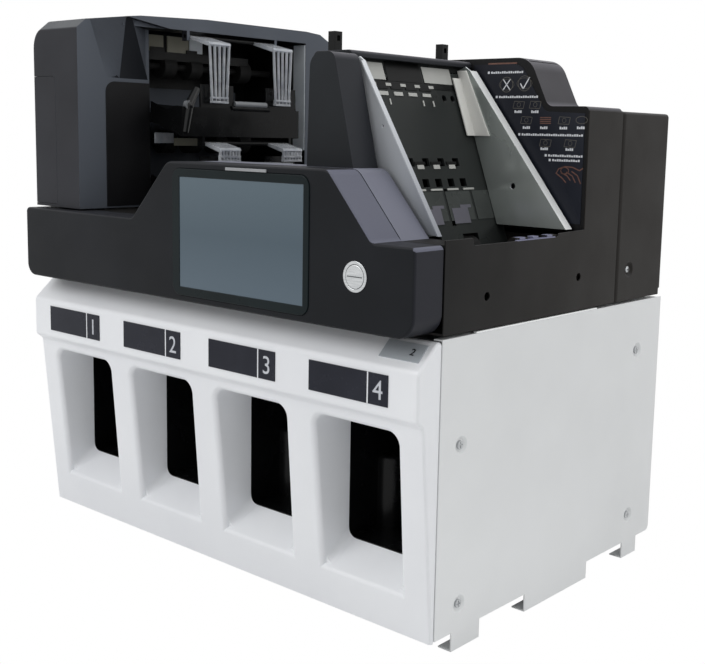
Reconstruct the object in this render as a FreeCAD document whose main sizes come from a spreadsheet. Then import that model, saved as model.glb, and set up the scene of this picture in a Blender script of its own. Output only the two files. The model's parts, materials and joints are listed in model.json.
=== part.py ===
import FreeCAD, Part
import os
import Sketcher

# Desktop banknote counting and sorting machine, in millimetres.
# Frame: +X to the right, +Y to the rear, +Z up. The origin is on the table, under the middle
# of the machine. The white lower module holds four stacking pockets; the black upper unit is
# hinged on it along the rear and holds the hopper, the screen and two reject pockets.

# Driving sizes: alias and number of millimetres (degrees where the name says so).
SIZES = [
    # whole machine
    ("overall_width", 584), ("overall_depth", 436), ("overall_height", 593),
    ("sheet_gauge", 1.5), ("plate_gauge", 2), ("shell_wall", 3),
    ("running_gap", 0.4), ("shaft_fit", 0.05), ("shaft_radius", 4), ("screw_radius", 2),
    # lower module
    ("lower_height", 290), ("foot_height", 18), ("foot_flange", 15), ("bezel_depth", 38.5),
    ("cover_overhang", 8.5), ("frame_inset", 4), ("top_flange", 10), ("rear_inset", 4.5),
    ("bezel_base", 16), ("bezel_step", 8), ("label_bottom", 222), ("label_top", 265),
    ("bezel_top", 288), ("bezel_top_setback", 25), ("bezel_edge_round", 3),
    ("window_width", 71), ("window_height", 28), ("window_proud", 0.8), ("tile_width", 23),
    ("window_centre_height", 244.5), ("window_left_offset", 47.3), ("tile_gap", 1.2),
    ("badge_width", 44), ("badge_inset", 8),
    ("dimple_radius", 8.5), ("dimple_depth", 2.5), ("screw_head_radius", 4),
    ("frame_top", 284), ("front_band_height", 70),
    # pockets
    ("pocket_pitch", 140), ("mouth_width", 109), ("mouth_bottom", 30), ("mouth_top", 206),
    ("mouth_lip", 6.5), ("throat_width", 88), ("throat_bottom", 78), ("throat_top", 205),
    ("throat_round", 12), ("throat_depth", 54), ("pocket_depth", 186), ("liner_wall", 2),
    ("liner_top", 212), ("column_radius", 22), ("column_top", 150),
    # lower transport
    ("transport_shaft_height", 275.5), ("transport_roller_radius", 14), ("transport_roller_width", 16),
    ("stacker_height", 245), ("stacker_offset", 10), ("stacker_radius", 26), ("stacker_hub", 9),
    ("stacker_blades", 10), ("stacker_width", 12), ("blade_gauge", 1.6),
    ("gate_offset", 30), ("gate_length", 24), ("gate_shaft_radius", 3), ("gate_height", 279.5),
    ("pulley_radius", 12), ("pulley_width", 8), ("belt_gauge", 1.6),
    ("motor_radius", 16.5), ("motor_length", 62),
    # upper unit
    ("unit_gap", 3), ("hinge_radius", 3), ("deck_level", 371), ("console_level", 431.5),
    ("console_left", -90.8), ("console_left_top", -32.5), ("console_right_top", 191),
    ("console_right", 244), ("seam_gap", 0.5), ("console_depth", 38), ("rear_deck_level", 425),
    ("screen_left", -22), ("screen_right", 169), ("screen_bottom", 299.5), ("screen_top", 425),
    ("screen_round", 11), ("screen_proud", 1), ("lcd_left", -11), ("lcd_right", 162),
    ("lcd_bottom", 308), ("lcd_top", 417), ("lcd_recess", 0.6),
    ("button_centre", 225), ("button_height", 341), ("button_radius", 10.4), ("ring_width", 2),
    ("button_proud", 1), ("ring_proud", 0.8),
    # hopper
    ("tower_foot_left", 122), ("tower_foot_right", 181), ("tower_top_left", 125),
    ("tower_top_right", 155), ("tower_top", 536), ("tower_round", 14),
    ("ridge_left", 96), ("ridge_right", 146), ("ridge_top", 540), ("ridge_lip", 6.5),
    ("wall_front", 46.5),
    ("back_plate_top", 534), ("back_plate_foot", 372), ("back_plate_top_right", 137),
    ("back_plate_foot_right", 196), ("guide_front", -134), ("guide_rear", 30),
    ("guide_travel", 40), ("guide_gauge", 2), ("front_guide_reach", 252), ("rear_guide_reach", 280),
    ("guide_top_reach", 156), ("feeder_margin", 12), ("grip_width", 9), ("grip_depth", 10),
    ("grip_top", 558), ("grip_lead", 4), ("grip_play", 1),
    ("feed_roller_radius", 16), ("feed_roller_width", 22),
    # right-hand covers
    ("cover_front_top", 375), ("notch_front", -138.5), ("notch_rear", -1.5), ("notch_level", 368.5),
    ("column_front", 45.5), ("column_level", 490), ("box_front", 112.5), ("box_left", 236),
    ("box_top", 491), ("box_round", 7), ("wall_left", 123), ("shoulder_level", 494),
    ("head_rear", 105), ("head_top", 543), ("head_right_top", 219), ("head_right", 243),
    # left housing and reject pockets
    ("housing_right", -204), ("housing_base", 373), ("housing_front", -203), ("housing_rear", 162),
    ("cheek_rear", -107), ("rear_cheek_front", 116), ("housing_round", 18), ("hood_right", -172),
    ("hood_bottom", 576), ("hood_edge_top", 591), ("lapel_bottom", 519), ("panel_gauge", 1),
    ("lapel_set", 13), ("lapel_width", 30), ("lapel_foot", 38), ("lapel_foot_width", 17),
    ("door_front_right", -248), ("door_round", 6), ("door_top", 519), ("door_rear", 100),
    ("door_pin_radius", 1),
    ("tray_end", -145), ("tray_front", -106), ("tray_rear", 78), ("tab_width", 50),
    ("tab_offset", 51), ("tab_middle", -2.5), ("upper_tray_base", 455), ("upper_bar_level", 493),
    ("upper_tab_top", 515), ("lower_tray_base", 378), ("lower_bar_level", 422),
    ("lower_tab_top", 433), ("finger_width", 32), ("finger_middle", -6), ("finger_spacing", 100),
    ("finger_reach", 38), ("rib_gauge", 3), ("rib_count", 6), ("pivot_radius", 2.5),
    ("upper_pivot_height", 570), ("upper_finger_tip", 497), ("lower_pivot_height", 448),
    ("lower_finger_tip", 424), ("reject_roller_radius", 14),
]

DOCUMENT = FreeCAD.newDocument("banknote_counter")
POCKETS = range(4)
SHAFTS = range(2)
SIDES = (("left", -1), ("right", 1))
PARTS = []


class Size:
    """A length with two faces: the sheet expression that drives it and its number."""

    def __init__(self, text, number):
        self.text = text
        self.number = number

    def join(self, sign, other, number):
        return Size("(%s %s %s)" % (self.text, sign, other.text), number)

    def __add__(self, other):
        other = as_size(other)
        return self.join("+", other, self.number + other.number)

    def __sub__(self, other):
        other = as_size(other)
        return self.join("-", other, self.number - other.number)

    def __mul__(self, other):
        other = as_size(other)
        return self.join("*", other, self.number * other.number)

    def __truediv__(self, other):
        other = as_size(other)
        return self.join("/", other, self.number / other.number)

    def __radd__(self, other):
        return as_size(other) + self

    def __rsub__(self, other):
        return as_size(other) - self

    def __rmul__(self, other):
        return as_size(other) * self

    def __neg__(self):
        return as_size(0) - self


def as_size(value):
    """A plain number as a Size, and a Size as it is."""
    if isinstance(value, Size):
        return value
    return Size(repr(float(value)), float(value))


class Sheet:
    """The spreadsheet of driving sizes, read as attributes."""

    def __init__(self):
        cells = DOCUMENT.addObject("Spreadsheet::Sheet", "Sizes")
        for row, (alias, number) in enumerate(SIZES, start=1):
            cells.set("A%d" % row, alias)
            cells.set("B%d" % row, str(number))
            cells.setAlias("B%d" % row, alias)
            setattr(self, alias, Size("Sizes." + alias, float(number)))


S = Sheet()
DOCUMENT.recompute()

HALF = S.overall_width / 2
FRONT = S.screen_proud - S.overall_depth / 2
REAR = S.overall_depth / 2
SEAM = FRONT + S.bezel_depth
LABEL_FACE = FRONT + S.cover_overhang
UPPER_BASE = S.lower_height + S.unit_gap
FRAME_X = HALF - S.frame_inset
HINGE_Y = REAR - S.hinge_radius - 0.5
HINGE_Z = S.lower_height + S.unit_gap / 2


def bind(thing, **sizes):
    """Drive properties of an object from the sheet; double underscores stand for dots."""
    for name, size in sizes.items():
        thing.setExpression(name.replace("__", "."), as_size(size).text)


def place(thing, x, y, z, rotation=None):
    if rotation is not None:
        thing.Placement = FreeCAD.Placement(FreeCAD.Vector(), rotation)
    bind(thing, Placement__Base__x=x, Placement__Base__y=y, Placement__Base__z=z)
    return thing


def box(x, y, z):
    """A box from three (low, high) pairs."""
    solid = DOCUMENT.addObject("Part::Box", "Block")
    bind(solid, Length=x[1] - x[0], Width=y[1] - y[0], Height=z[1] - z[0])
    return place(solid, x[0], y[0], z[0])


TURNS = {
    "X": FreeCAD.Rotation(FreeCAD.Vector(0, 1, 0), 90),
    "Y": FreeCAD.Rotation(FreeCAD.Vector(1, 0, 0), -90),
    "Z": FreeCAD.Rotation(),
}


def spot(axis, across, start):
    """The point at start along an axis; across is the pair of other coordinates in XYZ order."""
    a, b = across
    return {"X": (start, a, b), "Y": (a, start, b), "Z": (a, b, start)}[axis]


def rod(axis, across, span, radius):
    """A cylinder along an axis, over a (low, high) span."""
    solid = DOCUMENT.addObject("Part::Cylinder", "Rod")
    bind(solid, Radius=radius, Height=span[1] - span[0])
    return place(solid, *spot(axis, across, span[0]), TURNS[axis])


def cone(axis, across, span, start_radius, end_radius):
    solid = DOCUMENT.addObject("Part::Cone", "Cone")
    bind(solid, Radius1=start_radius, Radius2=end_radius, Height=span[1] - span[0])
    return place(solid, *spot(axis, across, span[0]), TURNS[axis])


def taper(y, front_x, front_z, rear_x, rear_z):
    """A block along Y whose front and rear faces are different rectangles."""
    solid = DOCUMENT.addObject("Part::Wedge", "Taper")
    bind(solid, Ymin=y[0], Ymax=y[1], Xmin=front_x[0], Xmax=front_x[1],
         Zmin=front_z[0], Zmax=front_z[1], X2min=rear_x[0], X2max=rear_x[1],
         Z2min=rear_z[0], Z2max=rear_z[1])
    return solid


def between_levels(*levels):
    """A flat-sided solid between outlines of (x, y) corners, each given with its height."""
    outlines = []
    for z, corners in levels:
        outline = DOCUMENT.addObject("Part::Polygon", "Outline")
        outline.Nodes = [FreeCAD.Vector(x.number, y.number, z.number) for x, y in corners]
        outline.Close = True
        outlines.append(outline)
    solid = DOCUMENT.addObject("Part::Loft", "Facets")
    solid.Sections = outlines
    solid.Solid = True
    solid.Ruled = True
    return solid


def fuse(*solids):
    joined = DOCUMENT.addObject("Part::MultiFuse", "Joined")
    joined.Shapes = list(solids)
    joined.Refine = True
    return joined


def cut(base, *tools):
    """The base less every tool."""
    for tool in [tools[0] if len(tools) == 1 else fuse(*tools)]:
        result = DOCUMENT.addObject("Part::Cut", "Trimmed")
        result.Base = base
        result.Tool = tool
    return result


def overlap(base, tool):
    common = DOCUMENT.addObject("Part::Common", "Shared")
    common.Base = base
    common.Tool = tool
    return common


def group(*solids):
    """Separate solids that share one sub-part."""
    bundle = DOCUMENT.addObject("Part::Compound", "Group")
    bundle.Links = list(solids)
    return bundle


def edges_where(thing, test):
    DOCUMENT.recompute()
    return [i for i, edge in enumerate(thing.Shape.Edges, start=1) if test(edge)]


def runs_along(axis, minimum=0.8):
    """A test for straight edges whose direction is mostly along an axis."""
    k = "XYZ".index(axis)

    def test(edge):
        a, b = edge.Vertexes[0].Point, edge.Vertexes[-1].Point
        return abs((b - a)[k]) > minimum * max((b - a).Length, 1e-6)
    return test


def rounded(thing, radius, test):
    """Round the edges of a boolean result or primitive that pass a test."""
    radius = as_size(radius)
    result = DOCUMENT.addObject("Part::Fillet", "Rounded")
    result.Base = thing
    result.Edges = [(i, radius.number, radius.number) for i in edges_where(thing, test)]
    return result


PLANES = {"X": "YZ_Plane", "Y": "XZ_Plane", "Z": "XY_Plane"}


def draw(body, axis, start, corners):
    """A closed outline of straight lines whose corners are driven by the sheet."""
    sketch = body.newObject("Sketcher::SketchObject", "Outline")
    plane = [f for f in body.Origin.OriginFeatures if f.Role == PLANES[axis]][0]
    sketch.AttachmentSupport = [(plane, "")]
    sketch.MapMode = "FlatFace"
    bind(sketch, AttachmentOffset__Base__z=start)
    corners = [(as_size(a), as_size(b)) for a, b in corners]
    count = len(corners)
    spots = [FreeCAD.Vector(a.number, b.number, 0) for a, b in corners]
    for i in range(count):
        sketch.addGeometry(Part.LineSegment(spots[i], spots[(i + 1) % count]))
    for i in range(count):
        sketch.addConstraint(Sketcher.Constraint("Coincident", i, 2, (i + 1) % count, 1))
    for i, corner in enumerate(corners):
        for way, size in zip("XY", corner):
            rule = Sketcher.Constraint("Distance" + way, -1, 1, i, 1, size.number)
            sketch.setExpression("Constraints[%d]" % sketch.addConstraint(rule), size.text)
    return sketch


def slab(axis, span, corners, rounds=()):
    """A body padded along an axis from an outline; rounds are (corner number, radius) pairs.

    The outline is given as (y, z), (x, z) or (x, y) for the axes X, Y and Z.
    """
    body = DOCUMENT.addObject("PartDesign::Body", "Slab")
    low, high = as_size(span[0]), as_size(span[1])
    pad = body.newObject("PartDesign::Pad", "Pad")
    pad.Profile = draw(body, axis, -high if axis == "Y" else low, corners)
    bind(pad, Length=high - low)
    body.Tip = pad
    for number, radius in rounds:
        a, b = (as_size(v).number for v in corners[number])
        middle = FreeCAD.Vector(*[as_size(v).number for v in spot(axis, (a, b), low.number)])

        def at_corner(edge):
            step = edge.Vertexes[0].Point - middle
            step["XYZ".index(axis)] = 0
            return runs_along(axis, 0.999)(edge) and step.Length < 1e-3
        bevelled(body, radius, at_corner)
    return body


def bevelled(body, radius, test):
    """Round the edges of a padded body that pass a test."""
    names = ["Edge%d" % i for i in edges_where(body, test)]
    feature = body.Tip
    fillet = body.newObject("PartDesign::Fillet", "Round")
    fillet.Base = (feature, names)
    bind(fillet, Radius=radius)
    body.Tip = fillet
    return body


def part(label, thing):
    """Name a finished sub-part; its label names its node and its file."""
    thing.Label = label
    PARTS.append(thing)
    return thing


def pocket_x(i):
    return S.pocket_pitch * (i - 1.5)


# ---------------------------------------------------------------- lower module: casing

def tab_spans():
    """Front-to-back spans of the three feet cut in each side panel."""
    return [(SEAM + 25, SEAM + 68), (-35.5, 81.5), (REAR - 60.5, REAR - 28.5)]


def dimple_spots():
    """Places of the four dimpled screws, as (y, z)."""
    return [(SEAM + 31, 192), (SEAM + 35, 43), (REAR - 49.5, 235), (REAR - 50.5, 48)]


def outward(side, low, high):
    """A span that is mirrored for the left side, in rising order."""
    return (low, high) if side > 0 else (-high, -low)


def side_panel(name, side):
    """Folded white sheet with three feet, a top flange and four screw dimples."""
    front, top, foot = SEAM + 0.3, S.lower_height, S.foot_height
    outline = [(front, foot)]
    for low, high in tab_spans():
        outline += [(low, foot), (low, 0), (high, 0), (high, foot)]
    outline += [(REAR, foot), (REAR, top), (front, top)]
    last = len(outline)
    sheet = slab("X", outward(side, HALF - S.sheet_gauge, HALF), outline, [(last - 3, 6)])
    solids = [sheet]
    for span in tab_spans():
        solids.append(box(outward(side, HALF - S.foot_flange, HALF - S.sheet_gauge), span,
                          (as_size(0), S.sheet_gauge)))
    inner = outward(side, HALF - S.top_flange, HALF - S.sheet_gauge)
    solids.append(box(inner, (front, REAR - S.rear_inset - 3), (top - S.sheet_gauge, top)))
    tools = []
    for spot_yz in dimple_spots():
        bump = outward(side, FRAME_X, HALF - S.sheet_gauge)
        solids.append(rod("X", spot_yz, bump, S.dimple_radius + S.sheet_gauge))
        well = outward(side, HALF - S.dimple_depth, HALF)
        radii = (S.dimple_radius - 3, S.dimple_radius)
        tools.append(cone("X", spot_yz, well, *(radii if side > 0 else radii[::-1])))
        tools.append(rod("X", spot_yz, outward(side, FRAME_X, HALF), S.screw_radius))
    part("side_panel_" + name, cut(fuse(*solids), *tools))


def panel_screws():
    """Pan-head screws in the dimples, threaded into the frame."""
    screws = []
    for _, side in SIDES:
        for spot_yz in dimple_spots():
            seat = HALF - S.dimple_depth
            head = rod("X", spot_yz, outward(side, seat, seat + 2), S.screw_head_radius)
            shank = rod("X", spot_yz, outward(side, FRAME_X - 6, seat), S.screw_radius)
            slot = box(outward(side, seat + 1.2, seat + 2),
                       (spot_yz[0] - 3, spot_yz[0] + 3),
                       (as_size(spot_yz[1]) - 0.5, as_size(spot_yz[1]) + 0.5))
            upright = box(outward(side, seat + 1.2, seat + 2),
                          (spot_yz[0] - 0.5, spot_yz[0] + 0.5),
                          (as_size(spot_yz[1]) - 3, as_size(spot_yz[1]) + 3))
            screws.append(cut(fuse(head, shank), slot, upright))
    part("panel_screws", group(*screws))


def base_pan():
    """Folded sheet: the floor of the lower module and its louvred rear wall."""
    inner = HALF - S.sheet_gauge
    floor_top = S.foot_height + S.sheet_gauge
    face = (REAR - S.rear_inset - S.sheet_gauge, REAR - S.rear_inset)
    floor = box((-inner, inner), (SEAM + 0.3, face[1]), (S.foot_height, floor_top))
    wall = box((-inner, inner), face, (S.foot_height, S.bezel_top))
    through = (face[0] - 1, face[1] + 1)
    slots = []
    for column in (-180, -60, 60):
        for row in range(8):
            height = 120 + 14 * row
            slots.append(box((as_size(column), as_size(column) + 84), through,
                             (as_size(height), as_size(height) + 4)))
    inlet = box((as_size(196), as_size(224)), through, (as_size(44), as_size(64)))
    part("base_pan", cut(fuse(floor, wall), inlet, *slots))
    back = face[1]
    socket = box((as_size(196), as_size(224)), (face[0] - 24, back + 2), (as_size(44), as_size(64)))
    flange = box((as_size(190), as_size(230)), (back, back + 2), (as_size(40), as_size(68)))
    well = box((as_size(199), as_size(221)), (back - 14, back + 2), (as_size(46.5), as_size(61.5)))
    pins = []
    for offset, lift in ((-6, -1), (6, -1), (0, 3)):
        pins.append(box((as_size(209 + offset), as_size(211 + offset)), (back - 14, back - 2),
                        (as_size(52 + lift), as_size(56 + lift))))
    part("mains_inlet", fuse(cut(fuse(socket, flange), well), *pins))


def lower_frame():
    """Welded inner frame: two side plates, the rear bearing plate and the front band."""
    top, base = S.frame_top, S.foot_height + S.sheet_gauge
    gauge = S.plate_gauge
    front, back = SEAM + 28.5, bearing_plate()[0]
    plates = []
    for _, side in SIDES:
        plates.append(box(outward(side, FRAME_X - gauge, FRAME_X), (SEAM + 12, REAR - 12), (base, top)))
    plates.append(box((-FRAME_X + gauge, FRAME_X - gauge), (front, front + gauge),
                      (top - S.front_band_height, top)))
    plates.append(box((-FRAME_X + gauge, FRAME_X - gauge), bearing_plate(), (base, top)))
    holes = []
    span = (front - 1, back + gauge + 1)
    for i in SHAFTS:
        holes.append(rod("Y", (transport_x(i), S.transport_shaft_height), span,
                         S.shaft_radius + S.shaft_fit))
    for i in POCKETS:
        holes.append(rod("Y", (stacker_x(i), S.stacker_height), span, S.shaft_radius + S.shaft_fit))
        holes.append(rod("Y", (gate_x(i), S.gate_height), span, S.gate_shaft_radius + S.shaft_fit))
    for _, side in SIDES:
        for spot_yz in dimple_spots():
            bore = outward(side, FRAME_X - gauge - 1, FRAME_X + 1)
            holes.append(rod("X", spot_yz, bore, S.screw_radius))
    part("lower_frame", cut(fuse(*plates), *holes))


def bearing_plate():
    """Front and back faces of the plate behind the pockets that carries the shafts."""
    face = SEAM + S.pocket_depth + 25
    return (face, face + S.plate_gauge)


def front_bezel():
    """White moulding with four tapered pocket mouths, a label band and a sloping top."""
    lower_face = LABEL_FACE + S.bezel_step
    outline = [
        (SEAM, S.bezel_base), (SEAM - 4, S.bezel_base), (lower_face, S.label_bottom - 6),
        (LABEL_FACE, S.label_bottom), (LABEL_FACE, S.label_top),
        (LABEL_FACE + S.bezel_top_setback, S.bezel_top), (SEAM, S.bezel_top)]
    width = HALF - 1
    skin = slab("X", (-width, width), outline, [(3, 5), (4, 8), (5, 6), (2, 5)])
    skin = bevelled(skin, S.bezel_edge_round, on_end_faces(width.number, SEAM.number, S.bezel_base.number))
    wall = S.shell_wall
    hollow = slab("X", (-width + wall, width - wall), [
        (SEAM + 1, S.bezel_base + wall), (SEAM - 2, S.bezel_base + wall),
        (lower_face + wall, S.label_bottom - 5),
        (LABEL_FACE + wall, S.label_bottom + 1), (LABEL_FACE + wall, S.label_top - 1),
        (LABEL_FACE + S.bezel_top_setback + 1, S.bezel_top - wall), (SEAM + 1, S.bezel_top - wall)])
    shell = cut(skin, hollow)
    outer, inner = [], []
    for i in POCKETS:
        outer.append(mouth(i, wall, 0))
        inner.append(mouth(i, 0, 1))
    front_of_face = slab("X", (-HALF, HALF), [
        (FRONT - 60, 0), (SEAM - 4, 0), (SEAM - 4, S.bezel_base), (lower_face, S.label_bottom - 6),
        (lower_face, S.overall_height), (FRONT - 60, S.overall_height)])
    blocks = cut(fuse(*outer), front_of_face)
    moulding = cut(fuse(shell, blocks), *inner)
    lip = on_lower_face((SEAM - 4).number, S.bezel_base.number, lower_face.number,
                        (S.label_bottom - 6).number)
    part("front_bezel", rounded(moulding, S.mouth_lip, lip))


def on_end_faces(half_width, open_side, base):
    """A test for the outline edges of both end faces, apart from the rear and bottom ones."""
    def test(edge):
        ends = [v.Point for v in edge.Vertexes]
        on_end = all(abs(abs(p.x) - half_width) < 1e-3 for p in ends)
        on_seam = all(abs(p.y - open_side) < 1e-3 for p in ends)
        on_base = all(abs(p.z - base) < 1e-3 for p in ends)
        return on_end and not on_seam and not on_base
    return test


def on_lower_face(base_y, base_z, top_y, top_z):
    """A test for the edges of the pocket mouths on the leaning lower face."""
    def off_face(p):
        return abs((p.y - base_y) * (top_z - base_z) - (p.z - base_z) * (top_y - base_y))

    def test(edge):
        points = [edge.valueAt(edge.FirstParameter + share * (edge.LastParameter - edge.FirstParameter))
                  for share in (0, 0.5, 1)]
        box_of = edge.BoundBox
        inside = box_of.ZMin > base_z + 10 and box_of.ZMax < top_z - 2
        return inside and box_of.XLength < 130 and all(off_face(p) < 0.5 for p in points)
    return test


def mouth(i, grow, overrun):
    """The tapered mouth of one pocket, grown all round by a wall."""
    x = pocket_x(i)
    half_mouth, half_throat = S.mouth_width / 2 + grow, S.throat_width / 2 + grow
    funnel = taper((FRONT, liner_front() + overrun), (x - half_mouth, x + half_mouth),
                   (S.mouth_bottom - grow, S.mouth_top + grow), (x - half_throat, x + half_throat),
                   (S.throat_bottom - grow, S.throat_top + grow))
    return rounded(funnel, S.throat_round + grow, runs_along("Y"))


def window_left(i):
    return pocket_x(i) - S.window_left_offset


def label_band():
    """Tinted display windows and number tiles on the label face, and the badge above them."""
    low = S.window_centre_height - S.window_height / 2
    high = S.window_centre_height + S.window_height / 2
    face = (LABEL_FACE - S.window_proud, LABEL_FACE)
    windows, tiles = [], []
    for i in POCKETS:
        left = window_left(i)
        windows.append(box((left, left + S.window_width), face, (low, high)))
        start = left + S.window_width + S.tile_gap
        tiles.append(box((start, start + S.tile_width), face, (low, high)))
    part("display_windows", group(*windows))
    part("number_tiles", group(*tiles))
    rise = S.bezel_top - S.label_top
    lean = S.bezel_top_setback
    # the badge lies on the slope: both ends are shares of the slope, lifted off square to it
    start, end, lift = 0.3, 0.86, 0.03
    low_y, low_z = LABEL_FACE + lean * start, S.label_top + rise * start
    high_y, high_z = LABEL_FACE + lean * end, S.label_top + rise * end
    right = HALF - S.badge_inset
    part("latch_badge", slab("X", (right - S.badge_width, right), [
        (low_y, low_z), (high_y, high_z), (high_y - rise * lift, high_z + lean * lift),
        (low_y - rise * lift, low_z + lean * lift)]))


# ---------------------------------------------------------------- pockets and transport

def liner_front():
    return LABEL_FACE + S.throat_depth


def pocket_liner(i):
    """Glossy tub behind a pocket mouth, with a guide column on its left wall."""
    x, wall = pocket_x(i), S.liner_wall
    half = S.throat_width / 2
    back = SEAM + S.pocket_depth
    front = liner_front()
    outer = box((x - half - wall, x + half + wall), (front, back + wall),
                (S.throat_bottom - wall, S.liner_top))
    inner = box((x - half, x + half), (front - 1, back), (S.throat_bottom, S.liner_top + 1))
    tub = cut(outer, inner)
    column_y = (front + back) / 2 - 18
    column = rod("Z", (x - half, column_y), (S.throat_bottom, S.column_top), S.column_radius)
    column = rounded(column, 6, lambda e: e.BoundBox.ZLength < 0.1 and e.BoundBox.ZMin > 100)
    step = rod("Z", (x + half, back - 20), (S.throat_bottom, S.throat_bottom + 9), S.column_radius + 12)
    step = rounded(step, 4, lambda e: e.BoundBox.ZLength < 0.1 and e.BoundBox.ZMin > 80)
    room = box((x - half, x + half), (front, back), (S.throat_bottom, S.liner_top))
    return fuse(tub, overlap(fuse(column, step), room))


def transport_x(i):
    return S.pocket_pitch * (2 * i - 1)


def stacker_x(i):
    return pocket_x(i) + S.stacker_offset


def gate_x(i):
    return pocket_x(i) - S.gate_offset


def shaft_span(rear_overhang):
    return (SEAM + 26, bearing_plate()[1] + rear_overhang)


def note_middle():
    """Middle of the note path from front to back."""
    return (SEAM + 28.5 + bearing_plate()[0]) / 2


def transport_plate():
    """Flat guide under the notes, with windows for the rollers and the gates."""
    top = S.frame_top + S.plate_gauge
    sheet = box((-FRAME_X, FRAME_X), (SEAM + 12, bearing_plate()[1]), (S.frame_top, top))
    through = (S.frame_top - 1, top + 1)
    tools = []
    for i in SHAFTS:
        for lane in (-56, 0, 56):
            half_x = S.transport_roller_radius - 1
            middle = note_middle() + lane
            half_y = S.transport_roller_width / 2 + 1.5
            tools.append(box((transport_x(i) - half_x, transport_x(i) + half_x),
                             (middle - half_y, middle + half_y), through))
    for i in POCKETS:
        tools.append(box((gate_x(i) - 6, gate_x(i) + S.gate_length + 12),
                         (SEAM + 36, bearing_plate()[0] - 8), through))
    part("transport_plate", cut(sheet, *tools))


def transport_shaft(i):
    """Shaft with three drive rollers and its pulleys behind the bearing plate."""
    centre = (transport_x(i), S.transport_shaft_height)
    solids = [rod("Y", centre, shaft_span(40 if i == 1 else 24), S.shaft_radius)]
    for lane in (-56, 0, 56):
        middle = note_middle() + lane
        half = S.transport_roller_width / 2
        solids.append(rod("Y", centre, (middle - half, middle + half), S.transport_roller_radius))
    solids.append(rod("Y", centre, belt_lane(), S.pulley_radius))
    part("transport_shaft_%d" % (i + 1), fuse(*solids))


def belt_lane():
    """Front-to-back span of the transport belt and its pulleys."""
    start = bearing_plate()[1] + 9
    return (start, start + S.pulley_width)


def transport_belt():
    """Closed belt round the pulleys of the two transport shafts."""
    inner = S.pulley_radius + S.running_gap
    left, right, height = transport_x(0), transport_x(1), S.transport_shaft_height

    def track(radius):
        ends = [rod("Y", (x, height), belt_lane(), radius) for x in (left, right)]
        return fuse(box((left, right), belt_lane(), (height - radius, height + radius)), *ends)
    part("transport_belt", cut(track(inner + S.belt_gauge), track(inner)))


def drive_motor():
    """Slim geared motor in line with the right transport shaft, on four stand-offs."""
    centre = (transport_x(1), S.transport_shaft_height)
    face = belt_lane()[1] + 6
    can = rod("Y", centre, (face, face + S.motor_length), S.motor_radius)
    flange = box((centre[0] - 26, centre[0] + 26), (face, face + 3),
                 (S.frame_top - 30, S.frame_top - 1))
    feet = []
    for step_x in (-22, 22):
        for step_z in (-4, -26):
            foot_at = (centre[0] + step_x, S.frame_top + step_z)
            feet.append(rod("Y", foot_at, (bearing_plate()[1], face + 1), 2.5))
    bore = rod("Y", centre, (face - 1, face + 26), S.shaft_radius + S.shaft_fit)
    part("drive_motor", cut(fuse(can, flange, *feet), bore))


def stacker_wheel(i):
    """Shaft with two bladed wheels that lay the notes down in the pocket."""
    x, z = stacker_x(i), S.stacker_height
    solids = [rod("Y", (x, z), shaft_span(6), S.shaft_radius)]
    for lane in (-40, 40):
        middle = note_middle() + lane
        span = (middle - S.stacker_width / 2, middle + S.stacker_width / 2)
        solids.append(rod("Y", (x, z), span, S.stacker_hub))
        count = int(S.stacker_blades.number)
        for blade in range(count):
            solids.append(stacker_blade(x, z, span, 360.0 * blade / count))
    part("stacker_wheel_%d" % (i + 1), fuse(*solids))


def stacker_blade(x, z, span, angle):
    """One blade, set off the radius so that a note slides in between two of them."""
    blade = DOCUMENT.addObject("Part::Box", "Blade")
    bind(blade, Length=S.stacker_radius - 2, Width=span[1] - span[0], Height=S.blade_gauge)
    turn = FreeCAD.Rotation(FreeCAD.Vector(0, 1, 0), angle)
    blade.Placement = FreeCAD.Placement(FreeCAD.Vector(), turn)
    # the blade starts beside the hub's axis, half-way out to the hub's rim
    start = turn.multVec(FreeCAD.Vector(0, 0, 1))
    offset = S.stacker_hub / 2
    return place(blade, x + offset * start.x, span[0], z + offset * start.z)


def diverter_gate(i):
    """Shaft with a row of pointed fingers that tip up to turn a note down into its pocket."""
    x, z = gate_x(i), S.gate_height
    radius = S.gate_shaft_radius
    solids = [rod("Y", (x, z), shaft_span(3), radius)]
    tip = x + S.gate_length
    for lane in (-50, -25, 0, 25, 50):
        middle = note_middle() + lane
        solids.append(slab("Y", (middle - 5, middle + 5), [
            (x - radius, z - 1), (x + 4, z - radius - 2), (tip, z + radius + 1.2),
            (tip, z + radius + 2), (x - 2, z + radius + 1)]))
    part("diverter_gate_%d" % (i + 1), fuse(*solids))


def electronics():
    """Power supply and control board on the base pan."""
    floor = S.foot_height + S.sheet_gauge
    back = bearing_plate()[1]
    case = box((as_size(-262), as_size(-132)), (back + 20, REAR - 30), (floor, floor + 52))
    vents = []
    for row in range(6):
        start = back + 34 + 14 * row
        vents.append(box((as_size(-250), as_size(-144)), (start, start + 5), (floor + 49, floor + 53)))
    hollow = box((as_size(-260), as_size(-134)), (back + 22, REAR - 32), (floor + 2, floor + 50))
    part("power_supply", cut(case, hollow, *vents))
    board = box((as_size(-100), as_size(90)), (back + 20, REAR - 40), (floor + 8, floor + 9.6))
    posts = []
    for x in (-94, 84):
        for y in (back + 26, REAR - 46):
            posts.append(rod("Z", (as_size(x), y), (floor, floor + 8), 3))
    chips = []
    for step in range(4):
        left = as_size(-86 + 44 * step)
        chips.append(box((left, left + 26), (back + 40, back + 66), (floor + 9.6, floor + 13)))
        chips.append(rod("Z", (left + 12, back + 90), (floor + 9.6, floor + 24), 6))
    part("control_board", fuse(board, *posts, *chips))


# ---------------------------------------------------------------- upper unit: covers

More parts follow.
